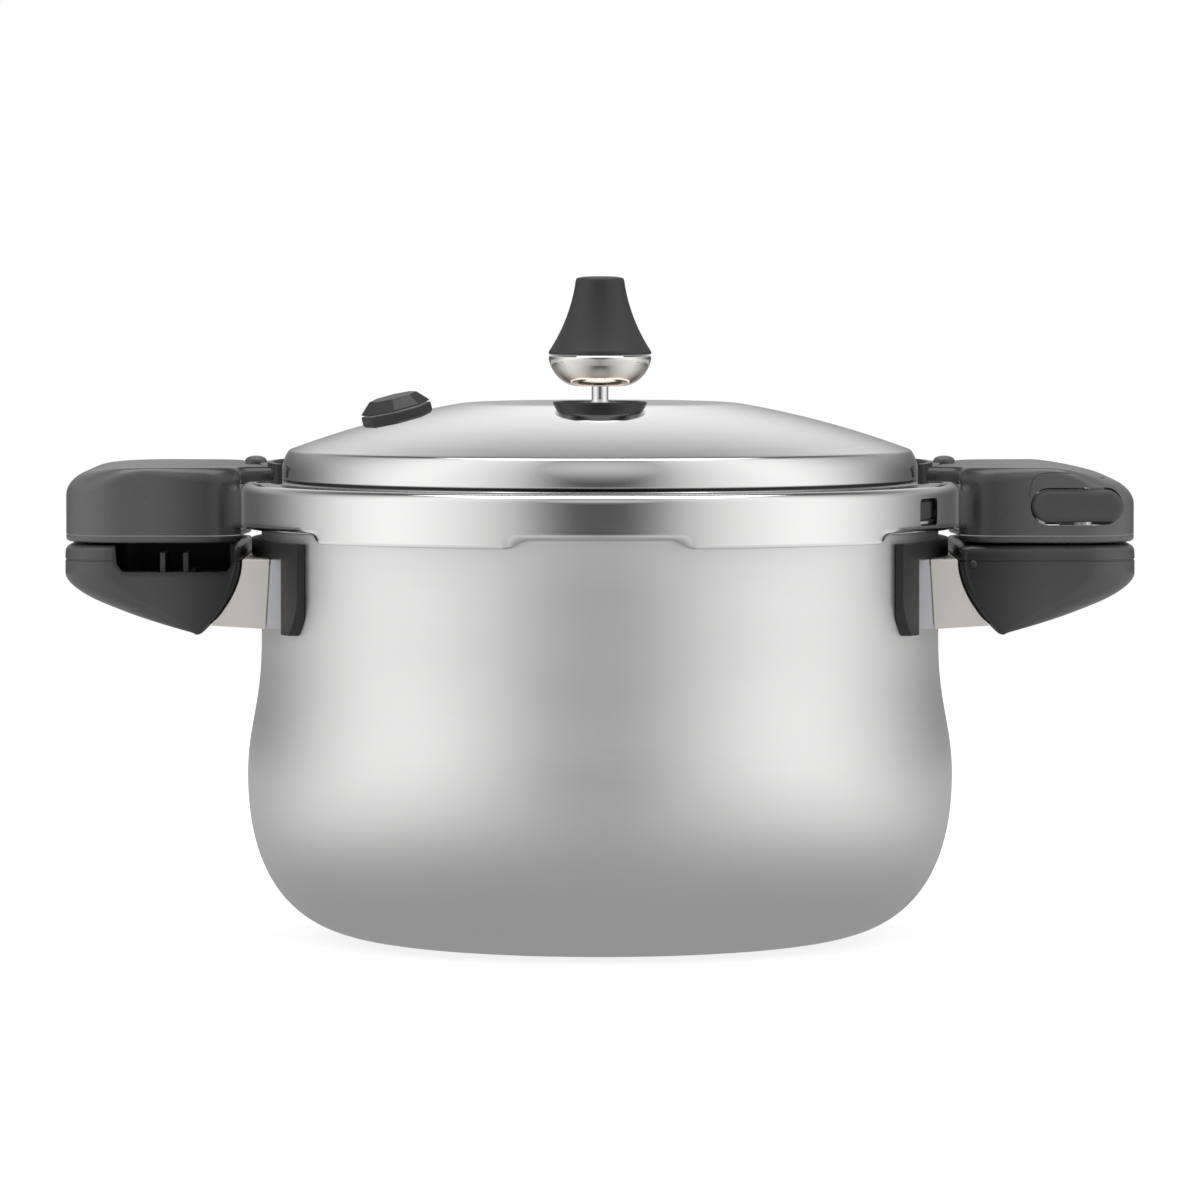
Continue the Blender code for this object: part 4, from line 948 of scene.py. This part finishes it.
def make_world():
    """A light tent: tall bright walls left and right, a dim gap in front, a bright backdrop, a dim top."""
    world = bpy.data.worlds.new("light_tent")
    bpy.context.scene.world = world
    world.use_nodes = True
    tree = world.node_tree
    tree.nodes.clear()
    where = add(tree, "ShaderNodeTexCoord").outputs["Generated"]
    split = add(tree, "ShaderNodeSeparateXYZ")
    tree.links.new(where, split.inputs[0])
    x, y, z = split.outputs
    turn = math_node(tree, "ARCTAN2", x, math_node(tree, "MULTIPLY", y, -1.0))
    turn = math_node(tree, "DIVIDE", math_node(tree, "ABSOLUTE", turn), math.pi)
    rise = math_node(tree, "DIVIDE", math_node(tree, "ARCSINE", z), math.pi / 2)
    walls = ramp_of(tree, turn,
                    ((0.0, 0.08), (0.05, 0.08), (0.105, 0.27), (0.16, 0.52), (0.22, 0.68), (0.28, 0.80),
                                 (0.34, 0.89), (0.40, 0.93), (0.47, 0.87), (0.545, 0.74), (0.635, 0.54),
                                 (0.745, 0.27),
                                 (1.0, 0.28)))
    fall = ramp_of(tree, rise, ((0.0, 1.0), (0.62, 1.0), (0.78, 0.75), (0.89, 0.2), (1.0, 0.08)))
    gap = ramp_of(tree, rise,
                  ((0.0, 0.07), (0.11, 0.12), (0.22, 0.24), (0.33, 0.41), (0.48, 0.54), (0.66, 0.36),
                               (0.80, 0.24), (0.93, 0.07), (1.0, 0.06)))
    ahead = ramp_of(tree, turn, ((0.0, 1.0), (0.09, 0.95), (0.16, 0.8), (0.26, 0.4), (0.4, 0.0)))
    behind = ramp_of(tree, turn, ((0.45, 0.0), (0.62, 0.25), (0.80, 1.0)))
    backdrop = ramp_of(tree, rise,
                       ((0.0, 0.24), (0.055, 0.28), (0.11, 0.45), (0.167, 0.72), (0.22, 1.0), (0.30, 1.0),
                                    (0.38, 0.74), (0.46, 0.30), (0.55, 0.08), (1.0, 0.04)))
    side = add(tree, "ShaderNodeMix", data_type="RGBA", blend_type="MULTIPLY", Factor=1.0)
    tree.links.new(walls, side.inputs["A"])
    tree.links.new(fall, side.inputs["B"])
    panel = add(tree, "ShaderNodeMix", data_type="RGBA", blend_type="MULTIPLY", Factor=1.0)
    tree.links.new(gap, panel.inputs["A"])
    tree.links.new(ahead, panel.inputs["B"])
    front = add(tree, "ShaderNodeMix", data_type="RGBA", blend_type="LIGHTEN", Factor=1.0)
    tree.links.new(side.outputs["Result"], front.inputs["A"])
    tree.links.new(panel.outputs["Result"], front.inputs["B"])
    width = ramp_of(tree, turn, ((0.80, 0.30), (0.90, 0.38), (0.95, 0.66), (1.0, 1.0)))
    screen = add(tree, "ShaderNodeMix", data_type="RGBA", blend_type="MULTIPLY", Factor=1.0)
    tree.links.new(backdrop, screen.inputs["A"])
    tree.links.new(width, screen.inputs["B"])
    both = add(tree, "ShaderNodeMix", data_type="RGBA")
    tree.links.new(behind, both.inputs["Factor"])
    tree.links.new(front.outputs["Result"], both.inputs["A"])
    tree.links.new(screen.outputs["Result"], both.inputs["B"])
    studio = add(tree, "ShaderNodeBackground", Strength=1.25)
    tree.links.new(both.outputs["Result"], studio.inputs["Color"])
    seen = add(tree, "ShaderNodeBackground", Strength=1.0)
    seen.inputs["Color"].default_value = (1.0, 1.0, 1.0, 1.0)
    pick = add(tree, "ShaderNodeMixShader")
    tree.links.new(add(tree, "ShaderNodeLightPath").outputs["Is Camera Ray"], pick.inputs["Fac"])
    tree.links.new(studio.outputs[0], pick.inputs[1])
    tree.links.new(seen.outputs[0], pick.inputs[2])
    out = add(tree, "ShaderNodeOutputWorld")
    tree.links.new(pick.outputs[0], out.inputs["Surface"])


def make_floor():
    """A pale round table top that glows: bright to the eye, and grey in the steel with a painted pool of
    light beside the pot.
    """
    made, tree, shader = new_material("pale_floor", (0.7, 0.7, 0.7), 0.9, 0.0, Specular_IOR_Level=0.0)
    shader.inputs["Emission Color"].default_value = (1.0, 1.0, 1.0, 1.0)
    shader.inputs["Emission Strength"].default_value = 0.7
    split = add(tree, "ShaderNodeSeparateXYZ")
    tree.links.new(add(tree, "ShaderNodeTexCoord").outputs["Object"], split.inputs[0])
    x, y = split.outputs["X"], split.outputs["Y"]
    radius = math_node(tree, "SQRT", math_node(tree, "ADD", math_node(tree, "MULTIPLY", x, x),
                                               math_node(tree, "MULTIPLY", y, y)))
    side = math_node(tree, "DIVIDE", math_node(tree, "ABSOLUTE", x), math_node(tree, "ADD", radius, 1e-4))
    near, far = [add(tree, "ShaderNodeMapRange", interpolation_type="SMOOTHSTEP") for _ in range(2)]
    for node, start, end in ((near, 0.10, 0.40), (far, 0.3, 1.0)):
        tree.links.new(radius, node.inputs["Value"])
        node.inputs["From Min"].default_value = start
        node.inputs["From Max"].default_value = end
    back = add(tree, "ShaderNodeMapRange", interpolation_type="SMOOTHSTEP")
    tree.links.new(math_node(tree, "DIVIDE", y, math_node(tree, "ADD", radius, 1e-4)), back.inputs["Value"])
    for socket, number in (("From Min", -0.3), ("From Max", 0.7), ("To Min", 0.60), ("To Max", 0.10)):
        back.inputs[socket].default_value = number
    # painted light: seen from the steel, the floor glows brighter beside the pot, towards its sides and front
    painted_pool_of_light = math_node(tree, "MULTIPLY", near.outputs["Result"], side)
    painted_pool_of_light = math_node(tree, "MULTIPLY", painted_pool_of_light, back.outputs["Result"])
    level = math_node(tree, "ADD", math_node(tree, "MULTIPLY", far.outputs["Result"], 0.1), 0.34)
    level = math_node(tree, "ADD", level, painted_pool_of_light)
    grey = add(tree, "ShaderNodeEmission")
    tree.links.new(level, grey.inputs["Strength"])
    pick = add(tree, "ShaderNodeMixShader")
    out = tree.nodes["Material Output"]
    tree.links.new(add(tree, "ShaderNodeLightPath").outputs["Is Camera Ray"], pick.inputs["Fac"])
    tree.links.new(grey.outputs[0], pick.inputs[1])
    tree.links.new(shader.outputs[0], pick.inputs[2])
    tree.links.new(pick.outputs[0], out.inputs["Surface"])
    disc = turned([(0, -6.0), (1500.0, -6.0), (1500.0, -0.05), (0, -0.05)], 96)
    finish_piece("floor", disc, made)


def area_light(name, place, target, size, power):
    lamp = bpy.data.lights.new(name, "AREA")
    lamp.shape = "RECTANGLE"
    lamp.size, lamp.size_y = size
    lamp.energy = power
    obj = bpy.data.objects.new(name, lamp)
    obj.location = place
    obj.rotation_euler = (Vector(target) - Vector(place)).to_track_quat("-Z", "Y").to_euler()
    bpy.context.scene.collection.objects.link(obj)


def make_lights():
    middle = (0.0, 0.0, 0.1)
    area_light("top_softbox", (0.0, 0.1, 1.8), middle, (1.6, 1.2), 15.0)


# Camera: millimetres for the film and the lens, metres for the places
SENSOR_WIDTH = 36.0
LENS = 210.0
CAMERA_AT = (0.0, -2.317, 0.230)
CAMERA_AIM = (0.0, 0.0, 0.1112)


def make_camera():
    """A long lens a little above the lid, looking down at the middle of the pot."""
    camera = bpy.data.cameras.new("camera")
    camera.sensor_width = SENSOR_WIDTH
    camera.lens = LENS
    obj = bpy.data.objects.new("camera", camera)
    obj.location = CAMERA_AT
    target = Vector(CAMERA_AIM)
    obj.rotation_euler = (target - obj.location).to_track_quat("-Z", "Y").to_euler()
    bpy.context.scene.collection.objects.link(obj)
    bpy.context.scene.camera = obj


def main():
    bpy.context.scene.view_settings.view_transform = "Standard"
    mats = make_materials()
    make_camera()
    make_world()
    make_floor()
    make_lights()
    make_pot(mats)
    make_lid(mats)
    for side, sign in (("left", -1), ("right", 1)):
        make_lid_grip(side, sign, mats)
        make_grip_base(side, sign, mats)
        make_neck_screw(side, sign, mats)
        make_pot_grip(side, sign, mats)
        make_ferrule(side, sign, mats)
        make_pad(side, sign, mats)
    make_button(mats)
    make_vent(mats)
    make_weight(mats)
    make_relief(mats)
    finish_carried(mats)


main()
